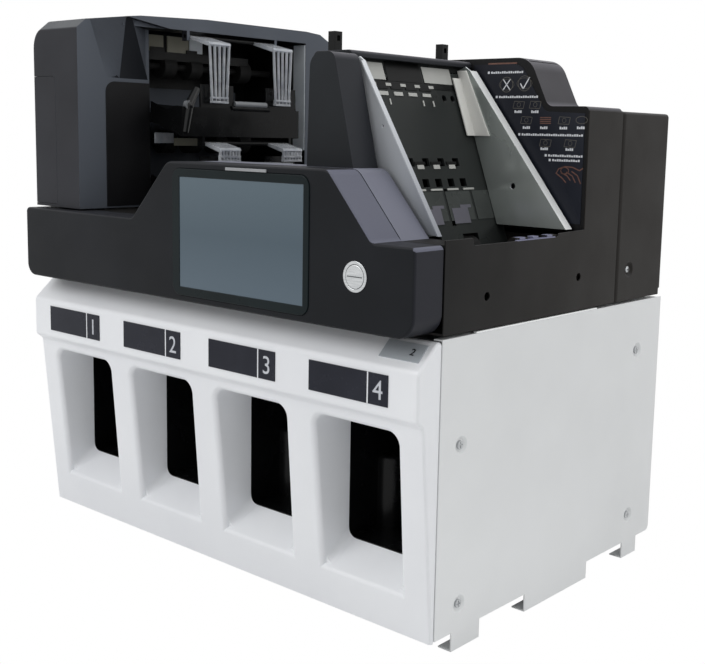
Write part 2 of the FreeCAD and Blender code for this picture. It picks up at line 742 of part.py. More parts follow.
def console_outline(drop=0, shrink=0):
    """The raised console seen from the front, shrunk evenly for its inside."""
    return [(S.console_left + shrink * 1.3, S.deck_level - drop),
            (S.console_left_top + shrink * 0.6, S.console_level - shrink),
            (S.console_right_top - shrink * 0.6, S.console_level - shrink),
            (S.console_right - shrink * 1.3, S.deck_level - drop)]


def front_cover():
    """Black fascia of the upper unit, raised in the middle to carry the screen."""
    wall, side = S.shell_wall, HALF - 1
    back = SEAM - S.seam_gap
    outline = [(-side, UPPER_BASE), (-side, S.deck_level)] + console_outline() + [
        (side, S.deck_level), (side, UPPER_BASE)]
    skin = slab("Y", (FRONT, back), outline, [(0, 14), (1, 5), (2, 10), (3, 16), (4, 16), (5, 10),
                                              (6, 5), (7, 20)])
    skin = bevelled(skin, 2.5, lambda e: e.BoundBox.YMax < FRONT.number + 1e-3)
    inside = [(-side + wall, UPPER_BASE + wall), (-side + wall, S.deck_level - wall)]
    inside += console_outline(wall, wall)
    inside += [(side - wall, S.deck_level - wall), (side - wall, UPPER_BASE + wall)]
    hollow = slab("Y", (FRONT + wall, back + 1), inside, [(0, 11), (7, 17)])
    screen = box((S.screen_left, S.screen_right), (FRONT - 1, FRONT + 12), (S.screen_bottom, S.screen_top))
    screen = rounded(screen, S.screen_round, runs_along("Y"))
    button = rod("Y", (S.button_centre, S.button_height), (FRONT - 1, FRONT + wall + 1),
                 S.button_radius + S.ring_width + S.running_gap)
    part("front_cover", cut(skin, hollow, screen, button))


def screen():
    """Screen frame, display and power button in the front cover."""
    back = FRONT + 10
    frame = box((S.screen_left, S.screen_right), (FRONT - S.screen_proud, back),
                (S.screen_bottom, S.screen_top))
    frame = rounded(frame, S.screen_round, runs_along("Y"))
    opening = box((S.lcd_left, S.lcd_right), (FRONT - S.screen_proud - 1, FRONT + 2),
                  (S.lcd_bottom, S.lcd_top))
    well = box((S.screen_left + 4, S.screen_right - 4), (FRONT + 2, back - 2),
               (S.screen_bottom + 4, S.screen_top - 4))
    part("screen_frame", cut(frame, opening, well))
    part("lcd_panel", box((S.lcd_left, S.lcd_right), (FRONT - S.screen_proud + S.lcd_recess, FRONT + 2),
                          (S.lcd_bottom, S.lcd_top)))
    centre = (S.button_centre, S.button_height)
    ring_radius = S.button_radius + S.running_gap
    barrel = rod("Y", centre, (FRONT - S.ring_proud, FRONT + 9), ring_radius + S.ring_width)
    lip = rod("Y", centre, (FRONT - S.ring_proud, FRONT), ring_radius + S.ring_width + 0.8)
    bore = rod("Y", centre, (FRONT - 2, FRONT + 10), ring_radius)
    part("button_ring", cut(fuse(barrel, lip), bore))
    face = FRONT - S.button_proud
    cap = rod("Y", centre, (face, FRONT + 5), S.button_radius)
    cap = rounded(cap, 0.6, lambda e: e.BoundBox.YMax < face.number + 0.1)
    groove = box((S.button_centre - 7, S.button_centre + 7), (face - 1, face + 0.6),
                 (S.button_height - 0.4, S.button_height + 0.4))
    part("power_button", cut(cap, groove))


def console_housing():
    """Console behind the fascia's seam and the lower rear deck behind it."""
    wall = S.shell_wall
    start, step = SEAM, SEAM + S.console_depth
    raised = slab("Y", (start, step), console_outline(), [(1, 16), (2, 16)])
    raised_hollow = slab("Y", (start - 1, step - wall), console_outline(1, wall))
    end = REAR - 6
    right = S.ridge_left
    drop = S.console_level - S.rear_deck_level
    rear = slab("Y", (step, end), [
        (S.console_left, S.deck_level), (S.console_left_top - drop, S.rear_deck_level),
        (right, S.rear_deck_level), (right, S.deck_level)], [(1, 14)])
    rear_hollow = slab("Y", (step + wall, end - wall), [
        (S.console_left + wall * 1.3, S.deck_level - 1),
        (S.console_left_top - drop + wall * 0.6, S.rear_deck_level - wall),
        (right - wall, S.rear_deck_level - wall), (right - wall, S.deck_level - 1)])
    part("console_housing", fuse(cut(raised, raised_hollow), cut(rear, rear_hollow)))


def hopper_hole():
    """Plan of the opening in the deck under the hopper, as (x, y) spans."""
    left = S.back_plate_top_right - S.feeder_margin
    return (left, HALF + 1), (SEAM + S.console_depth, S.wall_front)


def upper_deck():
    """Deck plate over the transport, open under the hopper and cut back for the rear box."""
    top, gauge = S.deck_level, S.plate_gauge
    inner = HALF - S.sheet_gauge
    sheet = box((-inner, inner), (SEAM, REAR - S.rear_inset), (top - gauge, top))
    hole_x, hole_y = hopper_hole()
    hole = box(hole_x, hole_y, (top - gauge - 1, top + 1))
    corner = box((S.box_left, HALF + 1), (S.box_front, REAR), (top - gauge - 1, top + 1))
    part("upper_deck", cut(sheet, hole, corner))


def upper_frame():
    """Floor of the upper unit with the two plates that carry the hopper and its rollers."""
    gauge = S.plate_gauge
    inner = HALF - S.sheet_gauge
    left = S.back_plate_top_right - S.feeder_margin
    floor = box((-inner, inner), (SEAM + 1, REAR - 8), (UPPER_BASE, UPPER_BASE + gauge))
    corner = box((S.box_left, HALF + 1), (S.box_front, REAR), (UPPER_BASE - 1, UPPER_BASE + 3))
    floor = cut(floor, corner)
    plates = []
    for span in feeder_plates():
        plates.append(slab("Y", span, [
            (left, UPPER_BASE + gauge), (inner - 2, UPPER_BASE + gauge),
            (inner - 2, S.notch_level - 4), (S.back_plate_foot_right, S.notch_level - 4),
            (S.back_plate_foot_right, S.back_plate_foot),
            (S.back_plate_top_right, S.back_plate_top), (left, S.back_plate_top)]))
    holes = []
    for centre in (pickup_centre(), feed_centre()):
        span = (feeder_plates()[0][0] - 1, feeder_plates()[1][1] + 1)
        holes.append(rod("Y", centre, span, S.shaft_radius + S.shaft_fit))
    part("upper_frame", cut(fuse(floor, *plates), *holes))


def feeder_plates():
    """Front-to-back spans of the two plates beside the hopper."""
    front = SEAM + S.console_depth
    return [(front + 0.5, front + 2.5), (S.wall_front - 3, S.wall_front - 1)]


def side_covers():
    """Black side sheets of the upper unit; the right one is notched for the note guides."""
    low, front = UPPER_BASE, SEAM + 0.3
    outline = [
        (front, low), (S.box_front - S.running_gap, low),
        (S.box_front - S.running_gap, S.column_level), (S.column_front, S.column_level),
        (S.column_front, S.cover_front_top - 2), (S.notch_rear, S.cover_front_top - 3),
        (S.notch_rear, S.notch_level), (S.notch_front, S.notch_level),
        (S.notch_front, S.cover_front_top), (front, S.cover_front_top)]
    sheet = slab("X", (HALF - S.sheet_gauge, HALF), outline, [(5, 2), (6, 3), (7, 3), (8, 2)])
    holes = []
    for y, z in ((-116, 321.7), (38.5, 326.3)):
        bore = (HALF - S.sheet_gauge - 1, HALF + 1)
        holes.append(rod("X", (as_size(y), as_size(z)), bore, 4))
    part("side_cover_right", cut(sheet, *holes))
    part("side_cover_left", slab("X", (-HALF, -HALF + S.sheet_gauge), [
        (front, low), (REAR - 1, low), (REAR - 1, S.deck_level), (front, S.deck_level)], [(1, 7)]))


def rear_cover():
    """Rear sheet of the upper unit: a fan grille, and a fold that lies on the floor."""
    face = (REAR - S.rear_inset - S.sheet_gauge, REAR - S.rear_inset)
    low = UPPER_BASE + S.plate_gauge
    across = (-HALF + S.sheet_gauge, S.box_left)
    wall = box(across, face, (low, S.deck_level - S.plate_gauge))
    fold = box(across, (face[0] - 10, face[1]), (low, low + S.sheet_gauge))
    slots = []
    for step in range(12):
        left = as_size(-230 + 12 * step)
        slots.append(box((left, left + 5), (face[0] - 1, face[1] + 1), (low + 12, low + 56)))
    part("rear_cover", cut(fuse(wall, fold), *slots))


def hinges():
    """Two rear hinges: a knuckle on each module round one pin, and a leaf on each rear sheet."""
    lower, upper = [], []
    radius, fit = S.hinge_radius, S.shaft_fit
    leaf_y = (REAR - S.rear_inset, REAR - S.rear_inset + S.sheet_gauge)
    for middle in (-180, 150):
        middle = as_size(middle)
        spans = ((middle - 24, middle - 8.3), (middle - 8, middle + 8), (middle + 8.3, middle + 24))
        low_leaf = box((middle - 24, middle + 24), leaf_y, (HINGE_Z - 34, HINGE_Z - radius - 0.7))
        arms = []
        for span in (spans[0], spans[2]):
            arms.append(rod("X", (HINGE_Y, HINGE_Z), span, radius))
            arms.append(box(span, leaf_y, (HINGE_Z - radius - 0.7, HINGE_Z)))
        bore = rod("X", (HINGE_Y, HINGE_Z), (middle - 25, middle + 25), 1.5)
        lower.append(cut(fuse(low_leaf, *arms), bore))
        pin = rod("X", (HINGE_Y, HINGE_Z), (middle - 24, middle + 24), 1.5)
        knuckle = rod("X", (HINGE_Y, HINGE_Z), spans[1], radius)
        leaf = box(spans[1], leaf_y, (HINGE_Z, HINGE_Z + 30))
        upper.append(cut(fuse(knuckle, leaf), rod("X", (HINGE_Y, HINGE_Z), spans[1], 1.5 + fit)))
        lower.append(pin)
    part("hinge_leaves_lower", group(*lower))
    part("hinge_leaves_upper", group(*upper))


def rear_housing():
    """Housing behind the hopper; the front of its head is the wall with the instruction plate."""
    wall, left = S.shell_wall, S.ridge_left
    right, end = HALF - S.sheet_gauge - 0.1, REAR - 6
    low = S.deck_level

    def head(shrink, drop):
        return [(left + shrink, low - drop), (left + shrink, S.head_top - shrink),
                (S.head_right_top - shrink * 0.8, S.head_top - shrink),
                (S.head_right - shrink * 0.8, S.shoulder_level - shrink),
                (right - shrink, S.shoulder_level - shrink), (right - shrink, low - drop)]

    def shoulder(shrink, drop):
        return [(left + shrink, low - drop), (left + shrink, S.shoulder_level - shrink),
                (right - shrink, S.shoulder_level - shrink), (right - shrink, low - drop)]
    outer = fuse(slab("Y", (S.wall_front, S.head_rear), head(0, 0), [(1, 6), (2, 24), (3, 10), (4, 5)]),
                 slab("Y", (S.head_rear - 1, end), shoulder(0, 0), [(1, 6), (2, 5)]))
    inner = fuse(slab("Y", (S.wall_front + wall, S.head_rear - wall), head(wall, 1)),
                 slab("Y", (S.head_rear - wall - 1, end - wall), shoulder(wall, 1)))
    corner = box((S.box_left - 0.1, HALF + 1), (S.box_front - S.running_gap, REAR),
                 (low - 1, S.overall_height))
    part("rear_housing", cut(outer, inner, corner))
    # printed plate on the wall, following its outline a little inside the edge
    plate_right = HALF - S.sheet_gauge - 4
    part("instruction_plate", slab("Y", (S.wall_front - 0.6, S.wall_front), [
        (150, 378), (150, 537), (S.head_right_top - 10, 537), (S.head_right - 3, 489),
        (plate_right, 487), (plate_right, 378)], [(2, 20), (3, 8)]))


def electronics_box():
    """Box at the rear right corner, held by one dimpled screw."""
    wall = S.shell_wall
    low, top = UPPER_BASE, S.box_top
    shell = box((S.box_left + 0.1, HALF), (S.box_front, REAR - 0.5), (low, top))
    shell = rounded(shell, S.box_round, lambda e: runs_along("Z")(e) and e.BoundBox.XMin > 280)
    shell = rounded(shell, 4, lambda e: e.BoundBox.ZMin > top.number - 1e-3)
    hollow = box((S.box_left + 0.1 + wall, HALF - wall), (S.box_front + wall, REAR - 0.5 - wall),
                 (low + wall, top - wall))
    foot = box((S.box_left, HALF + 1), (REAR - 8, REAR), (low - 1, low + 7))
    at = (REAR - 77.5, as_size(326))
    boss = rod("X", at, (HALF - S.dimple_depth - wall, HALF - wall + 0.5), S.dimple_radius + 2)
    well = cone("X", at, (HALF - S.dimple_depth, HALF), S.dimple_radius - 3, S.dimple_radius)
    bore = rod("X", at, (HALF - S.dimple_depth - wall - 1, HALF), S.screw_radius)
    box_shell = cut(fuse(cut(shell, hollow), boss), well, bore, foot)
    part("electronics_box", box_shell)


# ---------------------------------------------------------------- hopper

def hopper_tower():
    """Upright in front of the hopper, standing on the console."""
    front = SEAM + 4.5
    back = SEAM + S.console_depth
    base, wall = S.console_level, S.shell_wall
    outline = [(S.tower_foot_left, base), (S.tower_top_left, S.tower_top),
               (S.tower_top_right, S.tower_top), (S.tower_foot_right, base)]
    skin = slab("Y", (front, back), outline, [(1, S.tower_round), (2, 9)])
    hollow = slab("Y", (front + wall, back - wall), [
        (S.tower_foot_left + wall, base - 1), (S.tower_top_left + wall, S.tower_top - wall),
        (S.tower_top_right - wall, S.tower_top - wall), (S.tower_foot_right - wall, base - 1)])
    part("hopper_tower", cut(skin, hollow))


def grip_slots():
    """Front-to-back spans over which the two guide grips move."""
    spans = []
    for face, first, last in ((S.guide_front, 0, S.guide_travel), (S.guide_rear, -S.guide_travel, 0)):
        low, high = grip_span(face)
        spans.append((low + first - S.grip_play, high + last + S.grip_play))
    return spans


def grip_span(face):
    """Front-to-back span of the grip on the guide whose plate starts at face."""
    return (face - S.grip_lead, face - S.grip_lead + S.grip_depth)


def grip_x():
    return (S.ridge_left + 17, S.ridge_left + 17 + S.grip_width)


def hopper_ridge():
    """Cap along the top of the hopper's back, slotted for the two guide grips."""
    wall = S.shell_wall
    span = (SEAM + S.console_depth, S.wall_front)
    left, right, top = S.ridge_left, S.ridge_right, S.ridge_top
    skin = slab("Y", span, [
        (left, S.deck_level), (left, top), (right, top), (right, top - S.ridge_lip),
        (right - wall, top - S.ridge_lip), (right - wall, top - wall), (left + wall, top - wall),
        (left + wall, S.deck_level)], [(1, 6), (2, 4)])
    slots = []
    for slot in grip_slots():
        slots.append(box((grip_x()[0] - 1.5, grip_x()[1] + 1.5), slot, (top - wall - 1, top + 1)))
    part("hopper_ridge", cut(skin, *slots))


def plate_face(z):
    """X of the back plate's note side at a height."""
    rise = S.back_plate_top - S.back_plate_foot
    lean = S.back_plate_foot_right - S.back_plate_top_right
    return S.back_plate_foot_right + lean / rise * (S.back_plate_foot - z)


def hopper_middle():
    return (feeder_plates()[0][1] + feeder_plates()[1][0]) / 2


def beside_plate(z, depth):
    """A point set square off the back plate's face: positive depth is behind it."""
    return (plate_face(z) - depth * 0.94, as_size(z) - depth * 0.34)


def pickup_centre():
    return beside_plate(352, S.feed_roller_radius - 2)


def feed_centre():
    x, z = pickup_centre()
    return (x + 10, UPPER_BASE + S.plate_gauge + S.feed_roller_radius + 2)


def hopper_back_plate():
    """Leaning plate that the notes rest against, with combs, grooves and roller windows."""
    span = (feeder_plates()[0][1], feeder_plates()[1][0])
    foot, top = 340, S.back_plate_top
    gauge = S.shell_wall
    sheet = slab("Y", span, [
        (plate_face(foot), foot), (plate_face(top), top), (plate_face(top) - gauge, top),
        (plate_face(foot) - gauge, foot)])
    middle = hopper_middle()
    tools = []
    across = (S.ridge_left, S.wall_left + 140)
    # comb rows: a row of square teeth at three heights
    for height, count, pitch in ((513, 5, 22), (436, 4, 24), (416, 5, 20)):
        for tooth in range(count):
            at = middle + pitch * (tooth - (count - 1) / 2)
            tools.append(box(across, (at - 5, at + 5), (as_size(height - 4), as_size(height + 4))))
    # belt grooves between the lower comb and the foot
    for lane in (-33, 8):
        tools.append(box(across, (middle + lane - 3, middle + lane + 3), (as_size(374), as_size(410))))
    for lane in (-72, -58, 44, 58):
        at = middle + lane
        tools.append(rod("X", (at, as_size(500)), across, 3.5))
    tools.append(rod("X", (middle + 62, as_size(392)), across, 3.5))
    # windows for the pickup rollers
    for lane in (-30, 30):
        half = S.feed_roller_width / 2 + 1.5
        tools.append(box(across, (middle + lane - half, middle + lane + half),
                         (as_size(335), as_size(366))))
    # slots for the arms of the two note guides
    for slot in grip_slots():
        low = arm_level()
        high_end = slot[1] if slot[1].number < middle.number else span[1]
        low_end = slot[0] if slot[0].number > middle.number else span[0]
        tools.append(box(across, (low_end, high_end), (low[0] - 1, low[1] + 1)))
    part("hopper_back_plate", cut(sheet, *tools))


def arm_level():
    return (S.back_plate_top - 13, S.back_plate_top - 7)


def hopper_floor():
    """Sloping sheet that the notes stand on, with three ribs by the notch."""
    span = (feeder_plates()[0][1], feeder_plates()[1][0])
    left = feed_centre()[0] + S.feed_roller_radius + 24
    right = HALF - S.sheet_gauge - 0.1
    low, high = as_size(341), as_size(353)
    sheet = slab("Y", span, [(left, low), (right, high), (right, high + 2), (left, low + 2)])
    ribs = []
    for at in (-70, -20, 14):
        at = as_size(at)
        ribs.append(slab("Y", (at, at + 18), [
            (right - 26, high - 1.5), (right, high), (right, 371), (right - 7, 371)]))
    part("hopper_floor", fuse(sheet, *ribs))


def feed_rollers():
    """Pickup and feed rollers between the feeder plates."""
    middle = hopper_middle()
    span = (feeder_plates()[0][0], feeder_plates()[1][1])
    for label, centre in (("pickup_roller", pickup_centre()), ("feed_roller", feed_centre())):
        solids = [rod("Y", centre, span, S.shaft_radius)]
        for lane in (-30, 30):
            half = S.feed_roller_width / 2
            solids.append(rod("Y", centre, (middle + lane - half, middle + lane + half),
                              S.feed_roller_radius))
        part(label, fuse(*solids))


def note_guide(name, face, reach, flange, note_side):
    """A leaning side plate with a folded edge, and the arm and grip that move it."""
    gauge = S.guide_gauge
    foot, top = S.deck_level + 2, S.back_plate_top
    gap = 1.2
    y = (face, face + gauge)
    plate = slab("Y", y, [
        (plate_face(foot) + gap, foot), (plate_face(top - 4) + gap, top - 4),
        (S.guide_top_reach - 6, top), (S.guide_top_reach, top - 4), (reach, foot)])
    edge = slab("Y", flange, [
        (S.guide_top_reach - gauge, top - 4), (S.guide_top_reach, top - 4), (reach, foot),
        (reach - gauge, foot)])
    level = arm_level()
    grip_y = grip_span(face)
    arm = box((grip_x()[1] - 1, plate_face(level[0]) + 6), y, level)
    hole = rod("Y", (plate_face(413) + 34, as_size(413)), (face - 1, face + 3), 3)
    holes = [hole] if note_side < 0 else [
        rod("Y", (plate_face(470) + 20, as_size(470)), (face - 1, face + 3), 1.2)]
    post = box(grip_x(), grip_y, (arm_level()[0] - 4, S.grip_top))
    slit = box((grip_x()[0] - 1, grip_x()[1] + 1), (grip_y[0] + 3, grip_y[1] - 3),
               (S.grip_top - 9, S.grip_top - 4))
    part("note_guide_" + name, cut(fuse(plate, edge, arm, cut(post, slit)), *holes))


def note_guides():
    face = S.guide_front
    note_guide("front", face, S.front_guide_reach, (face - 4, face + 1), 1)
    face = S.guide_rear
    note_guide("rear", face, S.rear_guide_reach, (face + 1, face + 12), -1)
    # pale bracket on the note side of the rear guide
    y = (face - S.guide_gauge, face)
    low, high = 463, S.back_plate_top - 4
    plate = slab("Y", y, [
        (plate_face(low) + 2, low), (plate_face(high) + 2, high), (plate_face(high) + 14, high),
        (plate_face(low) + 22, low)])
    fold = slab("Y", (face - 14, face - S.guide_gauge + 1), [
        (plate_face(low) + 2, low), (plate_face(high - 8) + 2, high - 8),
        (plate_face(high - 8) + 4, high - 8), (plate_face(low) + 4, low)])
    part("guide_bracket", fuse(plate, fold))


# ---------------------------------------------------------------- left housing, reject pockets

def housing_outline(shrink):
    """Side view of the left housing, as (y, z)."""
    front, back = S.housing_front + shrink, S.housing_rear - shrink
    top = S.overall_height - shrink
    base = S.housing_base + shrink
    return [(front, base), (front, top - 22), (front + 12, top - 12), (front + 61, top - 6),
            (0, top), (back - 70, top), (back - 20, top - 4), (back, top - 14), (back, base)]


def housing_skin():
    """Closed outer shape of the left housing, less its hollow."""
    left, right, wall = -HALF, S.housing_right, S.shell_wall
    outer = slab("X", (left, right), housing_outline(0))
    outer = bevelled(outer, S.housing_round, lambda e: e.BoundBox.XMax < left.number + 1e-3
                     and e.BoundBox.ZMin > 560)
    outer = bevelled(outer, 3, lambda e: runs_along("Z")(e) and e.BoundBox.XMax < left.number + 1e-3
                     and e.BoundBox.ZLength > 100)
    inner = slab("X", (left + wall, right - wall), housing_outline(wall))
    inner = bevelled(inner, S.housing_round - wall, lambda e: e.BoundBox.ZMin > 560
                     and e.BoundBox.XMax < left.number + 3.1)
    return cut(outer, inner)


def lapel():
    """Faceted post that leans out from the front cheek up to the hood's brim."""
    inside, right, edge = S.housing_right - 2, S.housing_right, S.hood_right
    rear = S.cheek_rear - 2
    foot = S.housing_front + S.lapel_foot
    head = S.housing_front + S.lapel_set
    low = [(inside, foot), (right, foot), (right, foot + S.lapel_foot_width), (right, rear),
           (inside, rear)]
    high = [(inside, head), (right, head), (edge, head + S.lapel_width),
            (edge, head + S.lapel_width + 4), (inside, rear)]
    return between_levels((S.lapel_bottom, low), (S.overall_height, high))


def hood_overhang():
    """The part of the hood that flares out over the pockets, with its faceted lapel."""
    right, edge = S.housing_right - 1, S.hood_right
    top, bottom = S.hood_edge_top, S.hood_bottom
    start = S.housing_front + S.lapel_set + S.lapel_width
    brim = slab("Y", (start, S.housing_rear), [
        (right, bottom), (edge, bottom), (edge, top), (right, S.overall_height)])
    # the brim's lip thins out towards the lapel
    scoop = slab("X", (edge - 8, edge + 1), [
        (start - 1, bottom - 1), (start - 1, bottom + 9), (start + 25, bottom + 5),
        (start + 59, bottom), (start + 59, bottom - 1)])
    rear_cheek = slab("Y", (S.rear_cheek_front, S.housing_rear), [
        (right, S.housing_base), (edge, S.housing_base), (edge, bottom + 1), (right, bottom + 1)])
    side_view = slab("X", (right - 2, edge + 1), housing_outline(0))
    return overlap(fuse(cut(brim, scoop), rear_cheek, lapel()), side_view)


def door_region(grow):
    """The two flat skins of the housing that make the access door, grown by a gap."""
    left = -HALF
    low, high = S.housing_base + 3.4 - grow, S.door_top + grow
    side = box((left - 1, left + S.shell_wall + 0.1), (S.housing_front - 1, S.door_rear + grow),
               (low, high))
    edge = S.door_front_right + grow
    front = slab("Y", (S.housing_front - 1, S.housing_front + S.shell_wall + 0.1), [
        (left - 1, low), (left - 1, high), (edge, high), (edge, low)], [(2, S.door_round + grow)])
    return fuse(side, front)


def door_axis():
    return (-HALF + S.shell_wall / 2, S.door_rear - S.shell_wall / 2)


def left_housing():
    """Tall left housing with its hood, cheeks and inner partitions, and the access door."""
    wall = S.shell_wall
    skin = housing_skin()
    window = box((S.housing_right - wall - 1, S.housing_right + 1),
                 (S.cheek_rear, S.rear_cheek_front), (S.housing_base + wall, S.hood_bottom))
    walls = []
    for span in ((S.cheek_rear - wall, S.cheek_rear), (S.rear_cheek_front, S.rear_cheek_front + wall)):
        walls.append(box((-HALF + wall, S.housing_right), span,
                         (S.housing_base + 1, S.hood_bottom + 8)))
    feet = []
    for x in (-280, -220):
        for y in (-180, 140):
            feet.append(box((as_size(x), as_size(x) + 12), (as_size(y), as_size(y) + 12),
                            (S.deck_level, S.housing_base + 1)))
    lugs = []
    for y in upper_lugs():
        lugs.append(box((upper_pivot()[0] - 5, S.hood_right), y,
                        (S.upper_pivot_height - 5, S.hood_bottom + 4)))
    body = cut(fuse(cut(skin, window), hood_overhang(), *walls, *feet, *lugs), door_region(S.running_gap))
    pin_hole = rod("Z", door_axis(), (S.housing_base - 1, S.door_top + 8), S.door_pin_radius + S.shaft_fit)
    pivot = rod("Y", upper_pivot(), (S.cheek_rear - 1, S.rear_cheek_front + 1),
                S.pivot_radius + S.shaft_fit)
    roller_holes = []
    for centre in (upper_roller(), lower_roller()):
        roller_holes.append(rod("Y", centre, (S.cheek_rear - wall - 1, S.rear_cheek_front + wall + 1),
                                S.shaft_radius + S.shaft_fit))
    pivot_room = overlap(pivot, fuse(*[box((as_size(-300), as_size(0)), y, (as_size(0), as_size(600)))
                                       for y in upper_lugs()]))
    part("left_housing", cut(body, pin_hole, pivot_room, *roller_holes))


def access_door():
    """Wrap-round access door, cut from the same skin as the housing, on two vertical pins."""
    skin = overlap(housing_skin(), door_region(0))
    corner = lambda e: runs_along("Z")(e) and e.BoundBox.YMin > S.door_rear.number - 0.01
    skin = rounded(skin, S.shell_wall / 2 - 0.01, corner)
    low, high = S.housing_base + 3.4, S.door_top
    x, y = door_axis()
    pins = [rod("Z", (x, y), (low - 3, low + 1), S.door_pin_radius),
            rod("Z", (x, y), (high - 1, high + 6), S.door_pin_radius)]
    part("access_door", fuse(skin, *pins))


def cheek_panel():
    part("cheek_panel", slab("X", (S.housing_right, S.housing_right + S.panel_gauge), [
        (S.housing_front + 36, S.housing_base + 2), (S.housing_front + 36, S.lapel_bottom - 4),
        (S.cheek_rear, S.lapel_bottom - 4), (S.cheek_rear, S.housing_base + 2)],
        [(1, 12)]))


def tab_spans_y():
    """Front-to-back spans of the two tabs on a tray's end wall."""
    middles = (S.tab_middle - S.tab_offset, S.tab_middle + S.tab_offset)
    return [(m - S.tab_width / 2, m + S.tab_width / 2) for m in middles]


def reject_tray(label, base, bar, tab_top, lean):
    """Glossy tray: a sloping floor, side walls, and an end wall with two tabs and a bar."""
    wall = 2.5
    deep = -HALF + 32
    outside = (S.tray_front, S.tray_rear)
    end = S.tray_end
    low, high = base + 4, base + lean
    floor_out = slab("Y", outside, [(S.housing_right + 1, low + lean * 0.5), (end - 2, base),
                                    (end, base + 1), (end, base + 3), (S.housing_right + 1, high)])
    floor_in = slab("Y", (S.cheek_rear, S.rear_cheek_front), [
        (deep, high + 2), (S.housing_right + 2, low + lean * 0.5 - 2.5),
        (S.housing_right + 2, high - 0.5), (deep, high + 6)])
    end_wall = box((end - wall, end), outside, (base + 0.5, bar - 4))
    sides = []
    for y in ((outside[0], outside[0] + wall), (outside[1] - wall, outside[1])):
        sides.append(slab("Y", y, [
            (S.housing_right + 1, low + lean * 0.5), (end - 2, base), (end, base + 1), (end, bar - 4),
            (end - 12, bar - 3), (end - 30, high + 2), (S.housing_right + 1, high + 12)]))
    tabs = []
    for y in tab_spans_y():
        tabs.append(slab("Y", y, [(end - wall, base + 2), (end - wall - 2, tab_top),
                                  (end - 2, tab_top), (end, base + 2)]))
    rail = rod("Y", (end - wall / 2, bar - 4), (S.tab_middle - 30, S.tab_middle + 30), 3.2)
    return fuse(floor_out, floor_in, end_wall, rail, *sides, *tabs)


def lower_lugs():
    """Front-to-back spans of the pivot lugs under the upper tray."""
    front, back = finger_spans()
    return [(front[0] - 5, front[0] - 1), (back[1] + 1, back[1] + 5)]


def upper_lugs():
    return lower_lugs()


def reject_trays():
    upper = reject_tray("upper", S.upper_tray_base, S.upper_bar_level, S.upper_tab_top, 28)
    lugs = []
    for y in lower_lugs():
        lug = box((lower_pivot()[0] - 5, S.tray_end), y,
                  (S.lower_pivot_height - 5, S.upper_tray_base + 8))
        lugs.append(lug)
    bore = rod("Y", lower_pivot(), (lower_lugs()[0][0] - 1, lower_lugs()[1][1] + 1),
               S.pivot_radius + S.shaft_fit)
    part("reject_tray_upper", cut(fuse(upper, *lugs), bore))
    part("reject_tray_lower", reject_tray("lower", S.lower_tray_base, S.lower_bar_level,
                                          S.lower_tab_top, 20))


def finger_spans():
    middles = (S.finger_middle - S.finger_spacing / 2, S.finger_middle + S.finger_spacing / 2)
    return [(m - S.finger_width / 2, m + S.finger_width / 2) for m in middles]


def upper_pivot():
    return (S.hood_right - 4, S.upper_pivot_height)


def lower_pivot():
    return (S.tray_end - 4, S.lower_pivot_height)


def finger_stops(label, pivot, reach_to, tip, slope, lean):
    """Two clear combs on one pivot shaft: a flat arm and a row of hanging ribs each."""
    x, z = pivot
    gauge = 2.5
    lugs = lower_lugs()
    solids = [rod("Y", pivot, (lugs[0][0], lugs[1][1]), S.pivot_radius)]
    for span in finger_spans():
        solids.append(slab("Y", span, [
            (x, z - gauge / 2), (reach_to, z - slope), (reach_to, z - slope + gauge),
            (x, z + gauge / 2)]))
        bridge = slab("Y", span, [
            (reach_to - gauge - 0.5, z - slope - 6), (reach_to, z - slope - 6),
            (reach_to, z - slope + gauge), (reach_to - gauge, z - slope + gauge)])
        solids.append(bridge)
        count = int(S.rib_count.number)
        pitch = (S.finger_width - S.rib_gauge) / (count - 1)
        for rib in range(count):
            start = span[0] + pitch * rib
            solids.append(slab("Y", (start, start + S.rib_gauge), [
                (reach_to - gauge - 1, z - slope - 5), (reach_to - gauge - 1 - lean, tip),
                (reach_to - lean, tip), (reach_to, z - slope - 5)]))
        if tip.number < z.number - 60:
            solids.append(slab("Y", span, [
                (reach_to - gauge - 1 - lean, tip), (reach_to - gauge - 1 - lean, tip + 3),
                (reach_to - lean, tip + 3), (reach_to - lean, tip)]))
    part(label, fuse(*solids))


def reject_fingers():
    finger_stops("finger_stops_upper", upper_pivot(), S.hood_right + S.finger_reach,
                 S.upper_finger_tip, 6, 6)
    finger_stops("finger_stops_lower", lower_pivot(), S.tray_end + 28, S.lower_finger_tip, 1.5, 1)


def upper_roller():
    return (-HALF + 50, S.upper_pivot_height - 32)


def lower_roller():
    return (-HALF + 50, S.lower_pivot_height)


def reject_rollers():
    """Exit rollers of the two reject pockets, on shafts in the cheek partitions."""
    span = (S.cheek_rear - 2, S.rear_cheek_front + 2)
    middle = (S.cheek_rear + S.rear_cheek_front) / 2
    for label, centre in (("reject_roller_upper", upper_roller()),
                          ("reject_roller_lower", lower_roller())):
        solids = [rod("Y", centre, span, S.shaft_radius)]
        for lane in (-60, -20, 20, 60):
            solids.append(rod("Y", centre, (middle + lane - 9, middle + lane + 9),
                              S.reject_roller_radius))
        part(label, fuse(*solids))


